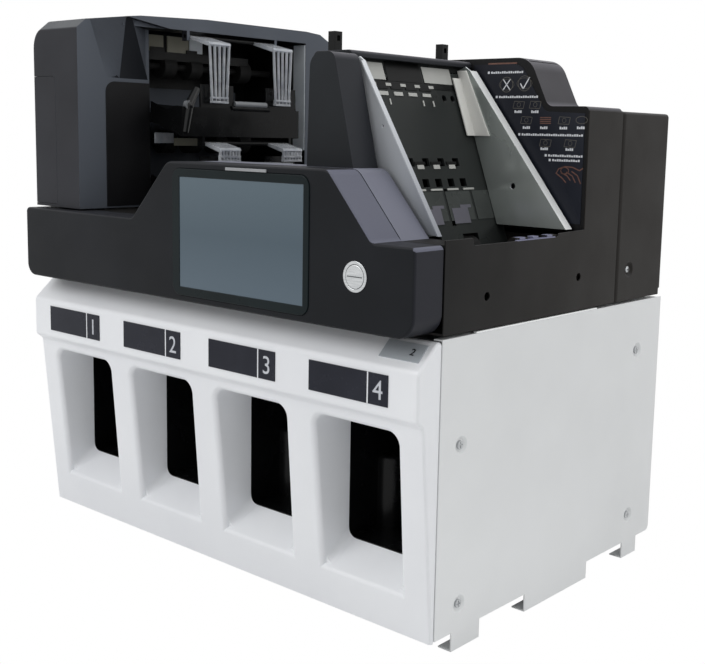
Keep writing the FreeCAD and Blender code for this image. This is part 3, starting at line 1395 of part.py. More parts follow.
def build():
    for name, side in SIDES:
        side_panel(name, side)
    base_pan()
    lower_frame()
    panel_screws()
    front_bezel()
    label_band()
    part("pocket_liners", group(*[pocket_liner(i) for i in POCKETS]))
    for i in POCKETS:
        stacker_wheel(i)
        diverter_gate(i)
    transport_plate()
    for i in SHAFTS:
        transport_shaft(i)
    transport_belt()
    drive_motor()
    electronics()
    front_cover()
    screen()
    console_housing()
    upper_deck()
    upper_frame()
    side_covers()
    rear_cover()
    hinges()
    rear_housing()
    electronics_box()
    hopper_tower()
    hopper_ridge()
    hopper_back_plate()
    hopper_floor()
    feed_rollers()
    note_guides()
    left_housing()
    access_door()
    cheek_panel()
    reject_trays()
    reject_fingers()
    reject_rollers()


def write_parts():
    """Check every object, then write one STEP file for each sub-part."""
    DOCUMENT.recompute()
    for thing in DOCUMENT.Objects:
        if "Invalid" in thing.State or "Error" in thing.State:
            raise RuntimeError("failed object: %s (%s)" % (thing.Label, thing.Name))
    for thing in PARTS:
        if thing.Shape.isNull() or not thing.Shape.isValid():
            raise RuntimeError("bad shape: " + thing.Label)
    os.makedirs("parts", exist_ok=True)
    for thing in PARTS:
        thing.Shape.exportStep("parts/%s.step" % thing.Label)


build()
write_parts()
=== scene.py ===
import json
import math

import bmesh
import bpy
from mathutils import Matrix, Vector


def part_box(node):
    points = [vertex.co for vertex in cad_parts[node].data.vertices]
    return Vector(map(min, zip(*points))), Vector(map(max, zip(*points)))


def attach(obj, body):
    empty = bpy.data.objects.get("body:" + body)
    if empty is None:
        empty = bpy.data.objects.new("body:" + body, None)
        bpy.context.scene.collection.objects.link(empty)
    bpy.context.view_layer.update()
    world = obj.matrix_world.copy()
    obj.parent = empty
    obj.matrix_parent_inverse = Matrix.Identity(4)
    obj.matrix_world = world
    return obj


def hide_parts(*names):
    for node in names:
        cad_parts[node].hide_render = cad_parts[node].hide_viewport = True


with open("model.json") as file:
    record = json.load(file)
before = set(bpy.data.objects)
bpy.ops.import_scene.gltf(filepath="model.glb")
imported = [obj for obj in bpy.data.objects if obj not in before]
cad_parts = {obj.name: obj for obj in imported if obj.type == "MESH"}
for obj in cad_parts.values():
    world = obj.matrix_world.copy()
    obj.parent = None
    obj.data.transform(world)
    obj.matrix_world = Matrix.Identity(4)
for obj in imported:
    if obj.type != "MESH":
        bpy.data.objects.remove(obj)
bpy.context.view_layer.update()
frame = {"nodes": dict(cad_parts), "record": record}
NODES = frame["nodes"]
RECORD = frame["record"]
BODY_OF = {n: body for body, members in RECORD["behaviour"]["bodies"].items() for n in members}
SLOT_OF = {row["node"]: row["material_slot"] for row in RECORD["subparts"]}
MM = 0.001
POCKETS = range(1, 5)
POCKET_PITCH = 140  # millimetres, as all the sizes below that aren't multiplied by MM
POCKET_WIDTH = 88


def in_mm(box):
    """The low and high corners of a box, in millimetres instead of metres."""
    return [corner / MM for corner in box]


# ---------------------------------------------------------------- materials

def colour(code):
    """A web colour such as "#5f6e78" as linear red, green, blue and alpha."""
    channels = [int(code[i:i + 2], 16) / 255 for i in (1, 3, 5)]
    linear = [c / 12.92 if c <= 0.04045 else ((c + 0.055) / 1.055) ** 2.4 for c in channels]
    return (*linear, 1.0)


class Finish:
    """A material grown round one Principled shader, patterned on Object coordinates."""

    def __init__(self, name, base, roughness, **sockets):
        self.material = bpy.data.materials.new(name)
        self.material.use_nodes = True
        self.tree = self.material.node_tree
        self.shader = self.tree.nodes["Principled BSDF"]
        self.place = self.tree.nodes.new("ShaderNodeTexCoord").outputs["Object"]
        self.shader.inputs["Base Color"].default_value = colour(base)
        self.shader.inputs["Roughness"].default_value = roughness
        for socket, value in sockets.items():
            self.shader.inputs[socket.replace("_", " ")].default_value = value

    def node(self, kind, links=(), **values):
        """A new node: values go to its sockets by name, and links are (socket, source) pairs."""
        made = self.tree.nodes.new("ShaderNode" + kind)
        for socket, value in values.items():
            made.inputs[socket.replace("_", " ")].default_value = value
        for socket, source in links:
            self.tree.links.new(source, made.inputs[socket])
        return made

    def noise(self, scale, detail=3.0, stretch=(1, 1, 1)):
        mapping = self.node("Mapping", [("Vector", self.place)], Scale=stretch)
        made = self.node("TexNoise", [("Vector", mapping.outputs["Vector"])], Scale=scale,
                         Detail=detail)
        return made.outputs["Fac"]

    def spread(self, source, low, high, source_low=0.3, source_high=0.7):
        made = self.node("MapRange", [("Value", source)], From_Min=source_low,
                         From_Max=source_high, To_Min=low, To_Max=high)
        return made.outputs["Result"]

    def mix(self, share, first, second):
        """A colour between two; each is a web colour or another node's output."""
        made = self.tree.nodes.new("ShaderNodeMix")
        made.data_type = "RGBA"
        self.tree.links.new(share, made.inputs["Factor"])
        for socket, value in zip((made.inputs[6], made.inputs[7]), (first, second)):
            if isinstance(value, str):
                socket.default_value = colour(value)
            else:
                self.tree.links.new(value, socket)
        return made.outputs[2]

    def along(self, axis, start, end):
        """0 at start and 1 at end of an axis, in metres."""
        parts = self.node("SeparateXYZ", [("Vector", self.place)])
        return self.spread(parts.outputs[axis], 0, 1, start, end)

    def facing(self, attribute, low=0.15, high=0.9):
        """How far a face looks one way, from 0 to 1, as the piece's own attribute holds it."""
        made = self.node("Attribute")
        made.attribute_name = attribute
        return self.spread(made.outputs["Fac"], 0, 1, low, high)

    def mottle(self, dark, light, scale, stretch=(1, 1, 1)):
        """Slow colour variation between two close tones."""
        share = self.spread(self.noise(scale, 4.0, stretch), 0, 1)
        return self.mix(share, dark, light)

    def paint(self, source):
        self.tree.links.new(source, self.shader.inputs["Base Color"])
        return self

    def polish(self, low, high, scale, stretch=(1, 1, 1)):
        """Roughness that wanders between two values."""
        wander = self.spread(self.noise(scale, 5.0, stretch), low, high)
        self.tree.links.new(wander, self.shader.inputs["Roughness"])
        return self

    def grain(self, scale, depth, detail=2.0, stretch=(1, 1, 1), strength=1.0):
        """Fine surface relief, depth in metres."""
        bump = self.node("Bump", [("Height", self.noise(scale, detail, stretch))],
                         Strength=strength, Distance=depth)
        self.tree.links.new(bump.outputs["Normal"], self.shader.inputs["Normal"])
        return self


def plain(name, dark, light, rough=0.45, scale=14.0, **sockets):
    """Painted or moulded surface between two close tones."""
    finish = Finish(name, dark, rough, **sockets)
    finish.paint(finish.mottle(dark, light, scale))
    return finish.polish(rough * 0.85, rough * 1.15, 30.0).grain(1100.0, 0.00003).material


def moulding(name, dark, light, top, side, rough=0.45):
    """Dark moulded plastic with a fine texture, with painted light: paler on faces that look up and on
    faces that look right, as if lit from above and the right.
    """
    finish = Finish(name, dark, rough, Specular_IOR_Level=0.1)
    body = finish.mottle(dark, light, 9.0)
    # painted light on faces that look to the right
    body = finish.mix(finish.facing("looks_right", 0.3, 1.0), body, side)
    # painted highlight on faces that look up
    finish.paint(finish.mix(finish.facing("looks_up", 0.2, 0.85), body, top))
    return finish.polish(rough * 0.88, rough * 1.12, 22.0).grain(1800.0, 0.00004).material


def white_moulding():
    finish = Finish("white_moulding", "#e8eaee", 0.4)
    finish.paint(finish.mottle("#e5e7eb", "#edeff2", 6.0))
    return finish.polish(0.34, 0.46, 30.0).grain(1400.0, 0.00003).material


def white_powder_coat():
    finish = Finish("white_powder_coat", "#dfe1e2", 0.45)
    finish.paint(finish.mottle("#dadcdd", "#e3e5e6", 5.0))
    return finish.polish(0.36, 0.5, 25.0).grain(700.0, 0.00006, 3.0).material


def black_powder_coat():
    finish = Finish("black_powder_coat", "#1b1a19", 0.5, Specular_IOR_Level=0.12)
    low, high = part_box("side_cover_right")
    body = finish.mottle("#121212", "#1a1918", 7.0)
    body = finish.mix(finish.along("Y", low.y, high.y), body, "#242220")
    # painted highlight on faces that look up
    finish.paint(finish.mix(finish.facing("looks_up", 0.3, 0.9), body, "#403f40"))
    return finish.polish(0.42, 0.55, 18.0).grain(800.0, 0.00006, 3.0).material


def gloss_black(name="gloss_black", dark="#070708", light="#0e0f10", rough=0.24):
    finish = Finish(name, dark, rough, Specular_IOR_Level=0.16)
    finish.paint(finish.mottle(dark, light, 12.0))
    return finish.polish(rough * 0.7, rough * 1.3, 35.0).grain(40.0, 0.0001, 2.0, strength=0.3).material


def tinted_window():
    finish = Finish("tinted_window", "#22242d", 0.25, Specular_IOR_Level=0.12)
    finish.paint(finish.mottle("#20222b", "#272932", 30.0))
    return finish.polish(0.2, 0.3, 60.0).material


def brushed_metal(name, dark, light, stretch, rough=0.32):
    finish = Finish(name, dark, rough, Metallic=1.0)
    finish.paint(finish.mottle(dark, light, 60.0, stretch))
    finish.polish(rough - 0.08, rough + 0.1, 90.0, stretch)
    return finish.grain(220.0, 0.00002, 3.0, stretch).material


def zinc_plate():
    finish = Finish("zinc_plate", "#b9bbbd", 0.38, Metallic=0.85)
    finish.paint(finish.mottle("#a2a5a8", "#c9cbcc", 55.0))
    return finish.polish(0.28, 0.46, 80.0).grain(300.0, 0.00003).material


def rubber(name, dark, light):
    finish = Finish(name, dark, 0.75, Specular_IOR_Level=0.3)
    finish.paint(finish.mottle(dark, light, 80.0))
    return finish.polish(0.66, 0.84, 120.0).grain(900.0, 0.00008).material


def screen_glass():
    """Resting display: a pale sky tone that deepens a little towards its middle."""
    finish = Finish("screen_glass", "#5f6e78", 0.14, Specular_IOR_Level=0.15)
    low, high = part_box("lcd_panel")
    upper = finish.mix(finish.along("Z", (low.z + high.z) / 2, high.z), "#515f69", "#5d6b74")
    finish.paint(finish.mix(finish.along("Z", low.z, (low.z + high.z) / 2), "#5b6974", upper))
    return finish.polish(0.1, 0.18, 18.0).material


def clear_plastic():
    finish = Finish("clear_plastic", "#eef2f6", 0.16, Transmission_Weight=0.6, IOR=1.49)
    finish.paint(finish.mottle("#c9ced6", "#eef1f5", 90.0))
    return finish.polish(0.1, 0.26, 120.0).grain(260.0, 0.00006).material


def circuit_board():
    finish = Finish("circuit_board", "#1f4d31", 0.4)
    finish.paint(finish.mottle("#1b4529", "#2b5f3c", 60.0))
    return finish.polish(0.3, 0.5, 90.0).grain(500.0, 0.00004).material


def printed_panel():
    finish = Finish("printed_panel", "#14151c", 0.4, Specular_IOR_Level=0.2)
    low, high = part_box("instruction_plate")
    body = finish.mottle("#101118", "#171922", 10.0)
    finish.paint(finish.mix(finish.along("X", low.x, high.x), body, "#1f222b"))
    return finish.polish(0.34, 0.46, 30.0).material


def polished_plate():
    """Plated steel with a painted reflection: smoky tones for the dark hopper it faces, paling to
    painted glare towards its free edge.
    """
    finish = Finish("polished_plate", "#8b9392", 0.2, Metallic=0.6)
    low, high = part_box("note_guide_rear")
    painted_reflection_smoke = finish.mottle("#6d7573", "#aab2af", 18.0, (1, 1, 0.4))
    painted_glare_from = low.x + 30 * MM
    finish.paint(finish.mix(finish.along("X", painted_glare_from, high.x), painted_reflection_smoke, "#d5dbd8"))
    return finish.polish(0.14, 0.3, 20.0).material


def guide_plate():
    """Satin grey sheet, with painted shade that darkens it towards its foot."""
    finish = Finish("guide_plate", "#d9dde2", 0.36)
    low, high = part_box("note_guide_front")
    # painted shade towards the foot
    body = finish.mix(finish.along("Z", low.z, high.z), "#8f939b", "#e4e8ec")
    finish.paint(body)
    return finish.polish(0.3, 0.44, 40.0, (1, 1, 0.3)).grain(900.0, 0.00003).material


# the last two colours are painted light: a highlight on faces that look up, light on faces that look
# right
BLACK = moulding("black_moulding", "#15171a", "#1c1e22", "#4f505a", "#2c2d33")
MATERIALS = {
    "white_sheet": white_powder_coat(),
    "white_moulding": white_moulding(),
    "black_moulding": BLACK,
    "black_sheet": black_powder_coat(),
    "gloss_black": gloss_black(),
    "display_tint": tinted_window(),
    "number_tile": tinted_window(),
    "badge_grey": plain("badge_grey", "#a2a8ae", "#b2b8bd", 0.4),
    "zinc_steel": zinc_plate(),
    "frame_steel": plain("frame_steel", "#a9acaf", "#c2c5c8", 0.4, Metallic=0.6),
    "rubber_roller": rubber("rubber_roller", "#101010", "#1b1b1b"),
    "blade_green": plain("blade_green", "#3e5a49", "#4c6a58"),
    "belt_rubber": rubber("belt_rubber", "#161616", "#222222"),
    "motor_can": brushed_metal("motor_can", "#7d8083", "#9a9da0", (12, 1, 12)),
    "circuit_green": circuit_board(),
    "screen_glass": screen_glass(),
    # the last two colours of the screen border are painted light on faces that look up and right
    "screen_border": moulding("screen_border", "#11191b", "#162022", "#1b2325", "#162022", 0.3),
    "button_silver": brushed_metal("button_silver", "#b4b7b9", "#d2d4d5", (1, 1, 14), 0.3),
    "guide_grey": guide_plate(),
    "bracket_grey": plain("bracket_grey", "#d9d9d5", "#e6e6e1", 0.42),
    "plate_navy": printed_panel(),
    "clear_plastic": clear_plastic(),
}
# in each moulding below, the last two colours are painted light: a highlight on faces that look up,
# light on faces that look right
HOUSING = moulding("housing_charcoal", "#28292d", "#303136", "#55585b", "#5b6068")
# painted shade: a darker copy of the housing finish
HOUSING_PAINTED_SHADE = moulding("housing_painted_shade", "#1b1c1f", "#222326", "#2a2b2e", "#222428")
CONSOLE = moulding("console_black", "#1b1c20", "#212227", "#787a86", "#8a8c9e")
FRONT = moulding("front_black", "#15171a", "#1c1e22", "#26272b", "#292a30")
# painted sheen: mid grey for the black front cover's faces that look up and to the right
SLOPE_PAINTED_SHEEN = moulding("front_slope_painted_sheen", "#63656f", "#6b6e7c", "#666875", "#656775")
CHEEK = plain("cheek_black", "#0c0c0e", "#111113", 0.45, Specular_IOR_Level=0.2)
TOWER = moulding("tower_charcoal", "#1e2023", "#25282b", "#4a4a50", "#2b2d31")
REAR_SHELL = moulding("rear_shell", "#1a1a1b", "#202021", "#5a595f", "#3d3c3e")
BACK_PLATE = moulding("back_plate_black", "#1d1f1f", "#262929", "#3c3e3e", "#2a2d2c", 0.3)
REFLECTION_PAINTED_PLATE = polished_plate()
# near white: painted highlight for metal edges that catch the light
EDGE_PAINTED_HIGHLIGHT = plain("edge_painted_highlight", "#f4f7f7", "#fcfefe", 0.35)
SATIN_BLACK = plain("satin_black", "#0c0d0d", "#141515", 0.35, Specular_IOR_Level=0.14)
PALE_PLATE = plain("pale_plate", "#a9aaa6", "#bcbdb9", 0.45)
LAVENDER_LIP = plain("lavender_lip", "#5d5e78", "#70728c", 0.35)
LAVENDER_PLATE = plain("lavender_plate", "#55545f", "#63626c", 0.4)
OLIVE_PLATE = plain("olive_plate", "#7c7a6a", "#8f8d7d", 0.45)
BLUE_GREY = plain("blue_grey_plate", "#c9d1d8", "#e0e6ea", 0.4)
# painted shade for the dark left part of the rear cheek
PAINTED_SHADE_GREY = plain("painted_shade_plate", "#1d2020", "#282b2b", 0.35)
PRINT_WHITE = plain("print_white", "#c9ccd2", "#dfe1e6", 0.55, 400.0)
PRINT_FAINT = plain("print_faint", "#4a4743", "#5d5a54", 0.55, 400.0)
PRINT_BROWN = plain("print_brown", "#5b3a30", "#6e4a3d", 0.55, 400.0)
NUMBER_INK = plain("number_ink", "#b9bcc4", "#c9ccd2", 0.5, 300.0)
OWN_FINISH = {
    "left_housing": HOUSING, "access_door": HOUSING, "cheek_panel": CHEEK,
    "console_housing": CONSOLE, "front_cover": FRONT, "hopper_tower": TOWER, "hopper_ridge": TOWER,
    "rear_housing": REAR_SHELL, "hopper_back_plate": BACK_PLATE,
}


# ---------------------------------------------------------------- pieces

def piece(name, bm, body, slot, material=None):
    """A finished piece from a bmesh: named, linked, riding on its body, with its finish."""
    mesh = bpy.data.meshes.new(name)
    bm.to_mesh(mesh)
    bm.free()
    obj = bpy.data.objects.new(name, mesh)
    bpy.context.scene.collection.objects.link(obj)
    mesh.materials.append(material or MATERIALS[slot])
    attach(obj, body)
    return obj


def smooth(obj, angle=32):
    for polygon in obj.data.polygons:
        polygon.use_smooth = True
    obj.data.set_sharp_from_angle(angle=math.radians(angle))


def soften(obj, width, segments=2, angle=32):
    """Round every edge sharper than the angle, and keep the flats flat to the eye."""
    bevel = obj.modifiers.new("Rounded edges", "BEVEL")
    bevel.limit_method = "ANGLE"
    bevel.angle_limit = math.radians(angle)
    bevel.width = width
    bevel.segments = segments
    bevel.use_clamp_overlap = True


def flatten_shading(obj):
    weights = obj.modifiers.new("Flat faces lead", "WEIGHTED_NORMAL")
    weights.mode = "FACE_AREA"
    weights.weight = 100
    weights.keep_sharp = True


def note_directions(obj):
    """Keep on each face how far it looks up and to the right, for finishes that paint light there."""
    for name, axis in (("looks_up", 2), ("looks_right", 0)):
        kept = obj.data.attributes.new(name, "FLOAT", "FACE")
        kept.data.foreach_set("value", [face.normal[axis] for face in obj.data.polygons])


def moulded(node, width):
    """The CAD node's own shape with its edges rounded, in place of the plain node."""
    bm = bmesh.new()
    bm.from_mesh(NODES[node].data)
    bmesh.ops.remove_doubles(bm, verts=bm.verts, dist=0.002 * MM)
    bmesh.ops.dissolve_degenerate(bm, dist=0.01 * MM, edges=bm.edges)
    bmesh.ops.dissolve_limit(bm, angle_limit=math.radians(0.4), verts=bm.verts, edges=bm.edges)
    obj = piece(node + "_finished", bm, BODY_OF[node], SLOT_OF[node], OWN_FINISH.get(node))
    smooth(obj)
    note_directions(obj)
    if width:
        soften(obj, width)
    flatten_shading(obj)
    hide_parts(node)
    return obj


def repaint(obj, material, chosen):
    """A second finish on the faces for which chosen(centre, normal) holds."""
    obj.data.materials.append(material)
    index = len(obj.data.materials) - 1
    for polygon in obj.data.polygons:
        if chosen(polygon.center, polygon.normal):
            polygon.material_index = index


def dress_nodes():
    """Give every CAD node that stays its own procedural finish."""
    for name, obj in NODES.items():
        obj.data.materials.clear()
        obj.data.materials.append(OWN_FINISH.get(name, MATERIALS[SLOT_OF[name]]))


def add_block(bm, x, y, z, corner=(0, 0, 0)):
    """A box from three (low, high) pairs in millimetres, measured from a corner."""
    verts = bmesh.ops.create_cube(bm, size=1)["verts"]
    size = Vector((x[1] - x[0], y[1] - y[0], z[1] - z[0]))
    middle = Vector((x[1] + x[0], y[1] + y[0], z[1] + z[0])) / 2 + Vector(corner)
    bmesh.ops.scale(bm, verts=verts, vec=size * MM)
    bmesh.ops.translate(bm, verts=verts, vec=middle * MM)


def add_rod(bm, start, end, radius, segments=24, end_radius=None):
    """A round bar or cone between two points in millimetres."""
    start, end = Vector(start) * MM, Vector(end) * MM
    way = end - start
    verts = bmesh.ops.create_cone(
        bm, cap_ends=True, segments=segments, depth=way.length, radius1=radius * MM,
        radius2=(radius if end_radius is None else end_radius) * MM)["verts"]
    turn = way.to_track_quat("Z", "Y").to_matrix()
    bmesh.ops.rotate(bm, verts=verts, cent=(0, 0, 0), matrix=turn)
    bmesh.ops.translate(bm, verts=verts, vec=(start + end) / 2)


def add_prism(bm, outline, depth):
    """A flat outline of points in millimetres, drawn out along the vector depth."""
    face = bm.faces.new([bm.verts.new(Vector(point) * MM) for point in outline])
    grown = bmesh.ops.extrude_face_region(bm, geom=[face])["geom"]
    verts = [item for item in grown if isinstance(item, bmesh.types.BMVert)]
    bmesh.ops.translate(bm, verts=verts, vec=Vector(depth) * MM)


def finish_mesh(bm):
    bmesh.ops.recalc_face_normals(bm, faces=bm.faces)
    return bm


def lettering(name, text, height, at, body, slot, material, thickness=0.15 * MM, tilt=0):
    """A number that stands on a face looking to -Y: at is the middle of its back, in metres."""
    curve = bpy.data.curves.new(name, "FONT")
    curve.body = text
    curve.size = height / 0.69
    curve.align_x = "CENTER"
    curve.align_y = "CENTER"
    curve.extrude = thickness / 2
    curve.resolution_u = 8
    shape = bpy.data.objects.new(name + "_curve", curve)
    bpy.context.scene.collection.objects.link(shape)
    bpy.context.view_layer.update()
    mesh = bpy.data.meshes.new_from_object(shape)
    bpy.data.objects.remove(shape)
    bm = bmesh.new()
    bm.from_mesh(mesh)
    bmesh.ops.remove_doubles(bm, verts=bm.verts, dist=0.001 * MM)
    low = Vector(min(v.co[k] for v in bm.verts) for k in range(3))
    high = Vector(max(v.co[k] for v in bm.verts) for k in range(3))
    back = Vector(((low.x + high.x) / 2, (low.y + high.y) / 2, low.z))
    bmesh.ops.translate(bm, verts=bm.verts, vec=-back)
    turn = Matrix.Rotation(math.pi / 2 - tilt, 3, "X")
    bmesh.ops.rotate(bm, verts=bm.verts, cent=(0, 0, 0), matrix=turn)
    bmesh.ops.translate(bm, verts=bm.verts, vec=at)
    return piece(name, bm, body, slot, material)


# ---------------------------------------------------------------- lower module details

def pocket_numbers():
    low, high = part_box("number_tiles")
    tile = 23 * MM
    pitch = (high.x - low.x - tile) / 3
    dividers = bmesh.new()
    for i in POCKETS:
        x = low.x + tile / 2 + pitch * (i - 1)
        at = Vector((x, low.y, (low.z + high.z) / 2))
        lettering("pocket_number_%d" % i, str(i), 17 * MM, at, "lower_module", "number_tile",
                  NUMBER_INK)
        edge = (x - tile / 2) / MM
        add_block(dividers, (edge - 0.9, edge + 0.5), (low.y / MM - 0.15, high.y / MM),
                  (low.z / MM, high.z / MM))
    piece("window_dividers", dividers, "lower_module", "white_moulding")


def mouth_fillets():
    """Rounded lower corners that run from each pocket opening out along its mouth."""
    low, high = in_mm(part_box("pocket_liners"))
    back = in_mm(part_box("front_bezel"))[1].y - 0.1
    foot = low.z + 1.2
    radius, sides, root = 9, 6, 0.6
    flare, run, drop = 4.3, -26.2, -19.8
    bm = bmesh.new()
    for i in POCKETS:
        middle = (low.x + high.x) / 2 + POCKET_PITCH * (i - 2.5)
        for side in (-1, 1):
            x = middle + side * (POCKET_WIDTH / 2 + 0.2)
            outer = x + side * root
            outline = [(x - side * radius, back, foot - root), (outer, back, foot - root),
                       (outer, back, foot + radius)]
            for k in range(sides + 1):
                turn = math.pi / 2 * k / sides
                outline.append((x - side * radius * (1 - math.cos(turn)), back,
                                foot + radius * (1 - math.sin(turn))))
            add_prism(bm, outline, (side * flare, run, drop))
    obj = piece("mouth_fillets", finish_mesh(bm), "lower_module", "white_moulding")
    smooth(obj, 40)


def floor_lip():
    """Edge of the hopper's floor sheet, folded over the notch in the right side cover."""
    right = in_mm(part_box("side_cover_right"))[1].x
    front = in_mm(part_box("hopper_floor"))[0].y
    corner = (right, front, in_mm(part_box("upper_deck"))[0].z)
    bm = bmesh.new()
    add_block(bm, (-3.4, -0.05), (67, 131), (-3.8, 0.4), corner)
    for start in (72, 94, 118):
        add_block(bm, (-8, -1), (start, start + 9), (0, 2.4), corner)
    obj = piece("floor_lip", bm, "upper_unit", "black_sheet", LAVENDER_LIP)
    soften(obj, 0.5 * MM)


def badge_number():
    low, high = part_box("latch_badge")
    lean = math.atan2(high.y - low.y, high.z - low.z)
    to_right, lift = 11, 0.7
    off = Vector((to_right, -lift * math.cos(lean), lift * math.sin(lean))) * MM
    lettering("latch_badge_number", "2", 7 * MM, (low + high) / 2 + off, "lower_module",
              "badge_grey", SATIN_BLACK, 0.3 * MM, lean)


def top_flange():
    """Folded zinc edge that shows between the two units along the right side, near white as a painted
    highlight.
    """
    low, high = in_mm(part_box("side_panel_right"))
    bm = bmesh.new()
    add_block(bm, (high.x - 3.4, high.x - 0.1), (low.y + 48.2, high.y - 140),
              (high.z + 0.15, high.z + 1.5))
    piece("top_flange_right", bm, "lower_module", "zinc_steel", EDGE_PAINTED_HIGHLIGHT)


# ---------------------------------------------------------------- screen and console details

def screen_tab():
    """Small silver latch plate over the top edge of the screen."""
    low, high = in_mm(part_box("screen_frame"))
    bm = bmesh.new()
    add_block(bm, (low.x + 80, low.x + 136), (low.y - 0.4, low.y + 1.2),
              (high.z + 0.6, high.z + 3.4))
    obj = piece("screen_latch_plate", bm, "upper_unit", "zinc_steel",
                plain("latch_silver", "#85878a", "#989a9d", 0.35))
    soften(obj, 0.3 * MM)


def button_detail():
    """Split line across the face of the power button."""
    low, high = in_mm(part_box("power_button"))
    centre = (low + high) / 2
    half_length, half_height = 8.6, 0.5
    bm = bmesh.new()
    add_block(bm, (centre.x - half_length, centre.x + half_length), (low.y - 0.25, low.y + 0.2),
              (centre.z - half_height, centre.z + half_height))
    piece("power_button_split", bm, "power_button", "button_silver",
          plain("button_groove", "#55585a", "#636668", 0.4))


# ---------------------------------------------------------------- instruction plate

# prints are placed by (x, z) from the plate's lower left corner, in millimetres
PRINT_LEFT, PRINT_FACE, PRINT_FOOT = in_mm(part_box("instruction_plate"))[0]
INK_OUT, INK_IN = 0.12, 0.02


def add_bar(bm, left, right, middle, height):
    add_block(bm, (left, right), (-INK_OUT, INK_IN), (middle - height / 2, middle + height / 2),
              (PRINT_LEFT, PRINT_FACE, PRINT_FOOT))


def add_stroke(bm, start, end, width):
    """A straight printed line between two (x, z) points."""
    a, b = (Vector((PRINT_LEFT + x, 0, PRINT_FOOT + z)) for x, z in (start, end))
    side = (b - a).cross(Vector((0, 1, 0))).normalized() * width / 2
    around = (a + side, b + side, b - side, a - side)
    outline = [(p.x, PRINT_FACE - INK_OUT, p.z) for p in around]
    add_prism(bm, outline, (0, INK_OUT + INK_IN, 0))


def add_ring(bm, centre, radius, width, sides=24, squash=1.0):
    points = []
    for k in range(sides + 1):
        turn = 2 * math.pi * k / sides
        rise = radius * squash * math.sin(turn)
        points.append((centre[0] + radius * math.cos(turn), centre[1] + rise))
    for start, end in zip(points, points[1:]):
        add_stroke(bm, start, end, width)


def add_text_row(bm, left, right, middle, height=2.2, letter=2.0, gap=0.7):
    """A row of small blocks that stands for a line of print."""
    x, k = left, 0
    while x + letter <= right:
        trim = 0.25 * height * (k % 3 == 1)
        add_bar(bm, x, x + letter, middle - trim / 2, height - trim)
        x += letter + gap
        k += 1


def instruction_print():
    """Generic feeding hints: crossed and ticked note, small note outlines and a hand."""
    white, faint, brown = bmesh.new(), bmesh.new(), bmesh.new()
    for left, right, middle in ((22, 63, 150.5), (33, 83, 125.5), (63, 137, 87.5), (96, 136, 67),
                                (101, 135, 62.5)):
        add_bar(white, left - 4.2, left - 1.8, middle, 2.4)
        add_text_row(white, left, right, middle)
    for left, middle in ((53, 110.5), (73.5, 110.5), (64, 94.5), (85, 94.5), (108, 94.5),
                         (128, 95), (86.5, 73.5), (116, 73.5)):
        add_text_row(white, left, left + 9, middle, 2.6, 1.8, 0.5)
    # cross and tick
    add_stroke(white, (37.5, 143.5), (46.5, 132.5), 1.1)
    add_stroke(white, (46.5, 143.5), (37.5, 132.5), 1.1)
    add_stroke(white, (59, 139), (62.5, 133.5), 1.2)
    add_stroke(white, (62.5, 133.5), (70, 145), 1.2)
    for centre in ((42, 138), (64, 139)):
        add_ring(faint, centre, 7.6, 0.5)
        add_ring(faint, centre, 9.2, 0.35, squash=0.6)
    # notes in outline, and a bundle
    for x, z in ((58, 117.5), (78, 117.5), (68, 102), (113, 102), (92, 79.5), (121, 79.5)):
        note = [(x - 7, z - 3.4), (x + 5.5, z - 3.8), (x + 7, z + 3), (x - 5.5, z + 3.6)]
        for start, end in zip(note, note[1:] + note[:1]):
            add_stroke(faint, start, end, 0.5)
        add_ring(faint, (x, z), 2.2, 0.4, 12)
    for row in range(4):
        add_bar(brown, 84.5, 97.5, 99 + 1.9 * row, 0.9)
    add_ring(faint, (133, 102.5), 6.5, 0.5, squash=0.55)
    # sketched hand holding a bundle
    palm = [(106, 49), (109, 54), (116, 56.5), (125, 56), (133, 53), (137, 55.5)]
    fingers = [[(112, 50), (119, 47.5), (123, 43)], [(118, 51), (125, 47.5), (129, 41)],
               [(124, 52), (131, 48), (135, 40)], [(107, 49), (114, 44.5), (118, 40.5)]]
    for line in [palm] + fingers:
        for start, end in zip(line, line[1:]):
            add_stroke(brown, start, end, 1.1)
    add_ring(brown, (116, 52.5), 4.6, 0.9, 16, 0.7)
    add_bar(brown, 18, 54, 159.6, 1.5)
    for name, bm, material in (("white", white, PRINT_WHITE), ("faint", faint, PRINT_FAINT),
                               ("brown", brown, PRINT_BROWN)):
        piece("instruction_print_" + name, finish_mesh(bm), "upper_unit", "plate_navy", material)


# ---------------------------------------------------------------- right-hand covers

def box_screw():
    """Pan-head screw in the dimple of the electronics box, its cross recess drawn as a near-black block
    of painted shade.
    """
    low, high = in_mm(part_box("electronics_box"))
    at = Vector((high.x - 0.8, low.y + 28, low.z + 33))
    bm = bmesh.new()
    head = bmesh.ops.create_uvsphere(bm, u_segments=24, v_segments=12, radius=1)["verts"]
    bmesh.ops.scale(bm, verts=head, vec=Vector((1.5, 3.6, 3.6)) * MM)
    bmesh.ops.translate(bm, verts=head, vec=(at - Vector((1.4, 0, 0))) * MM)
    obj = piece("box_screw_head", bm, "upper_unit", "zinc_steel")
    smooth(obj)
    # near-black cross block: painted shade in the recess
    sink, arm, half = -1.7, 2, 0.4
    bm = bmesh.new()
    add_block(bm, (sink, 0.25), (-arm, arm), (-half, half), at)
    add_block(bm, (sink, 0.24), (-half, half), (-arm, arm), at)
    piece("box_screw_cross", bm, "upper_unit", "zinc_steel", SATIN_BLACK)


# ---------------------------------------------------------------- hopper back plate

# patches are placed by (y, z) from the plate's front edge and its foot, in millimetres
PLATE_FRONT = in_mm(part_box("hopper_back_plate"))[0].y
PLATE_FOOT_X = in_mm(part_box("hopper_back_plate"))[0].x + 62
PLATE_FOOT_Z = in_mm(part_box("hopper_floor"))[1].z + 1
PLATE_LEAN = 0.3642
OUT_X, OUT_Z = 0.94, 0.34


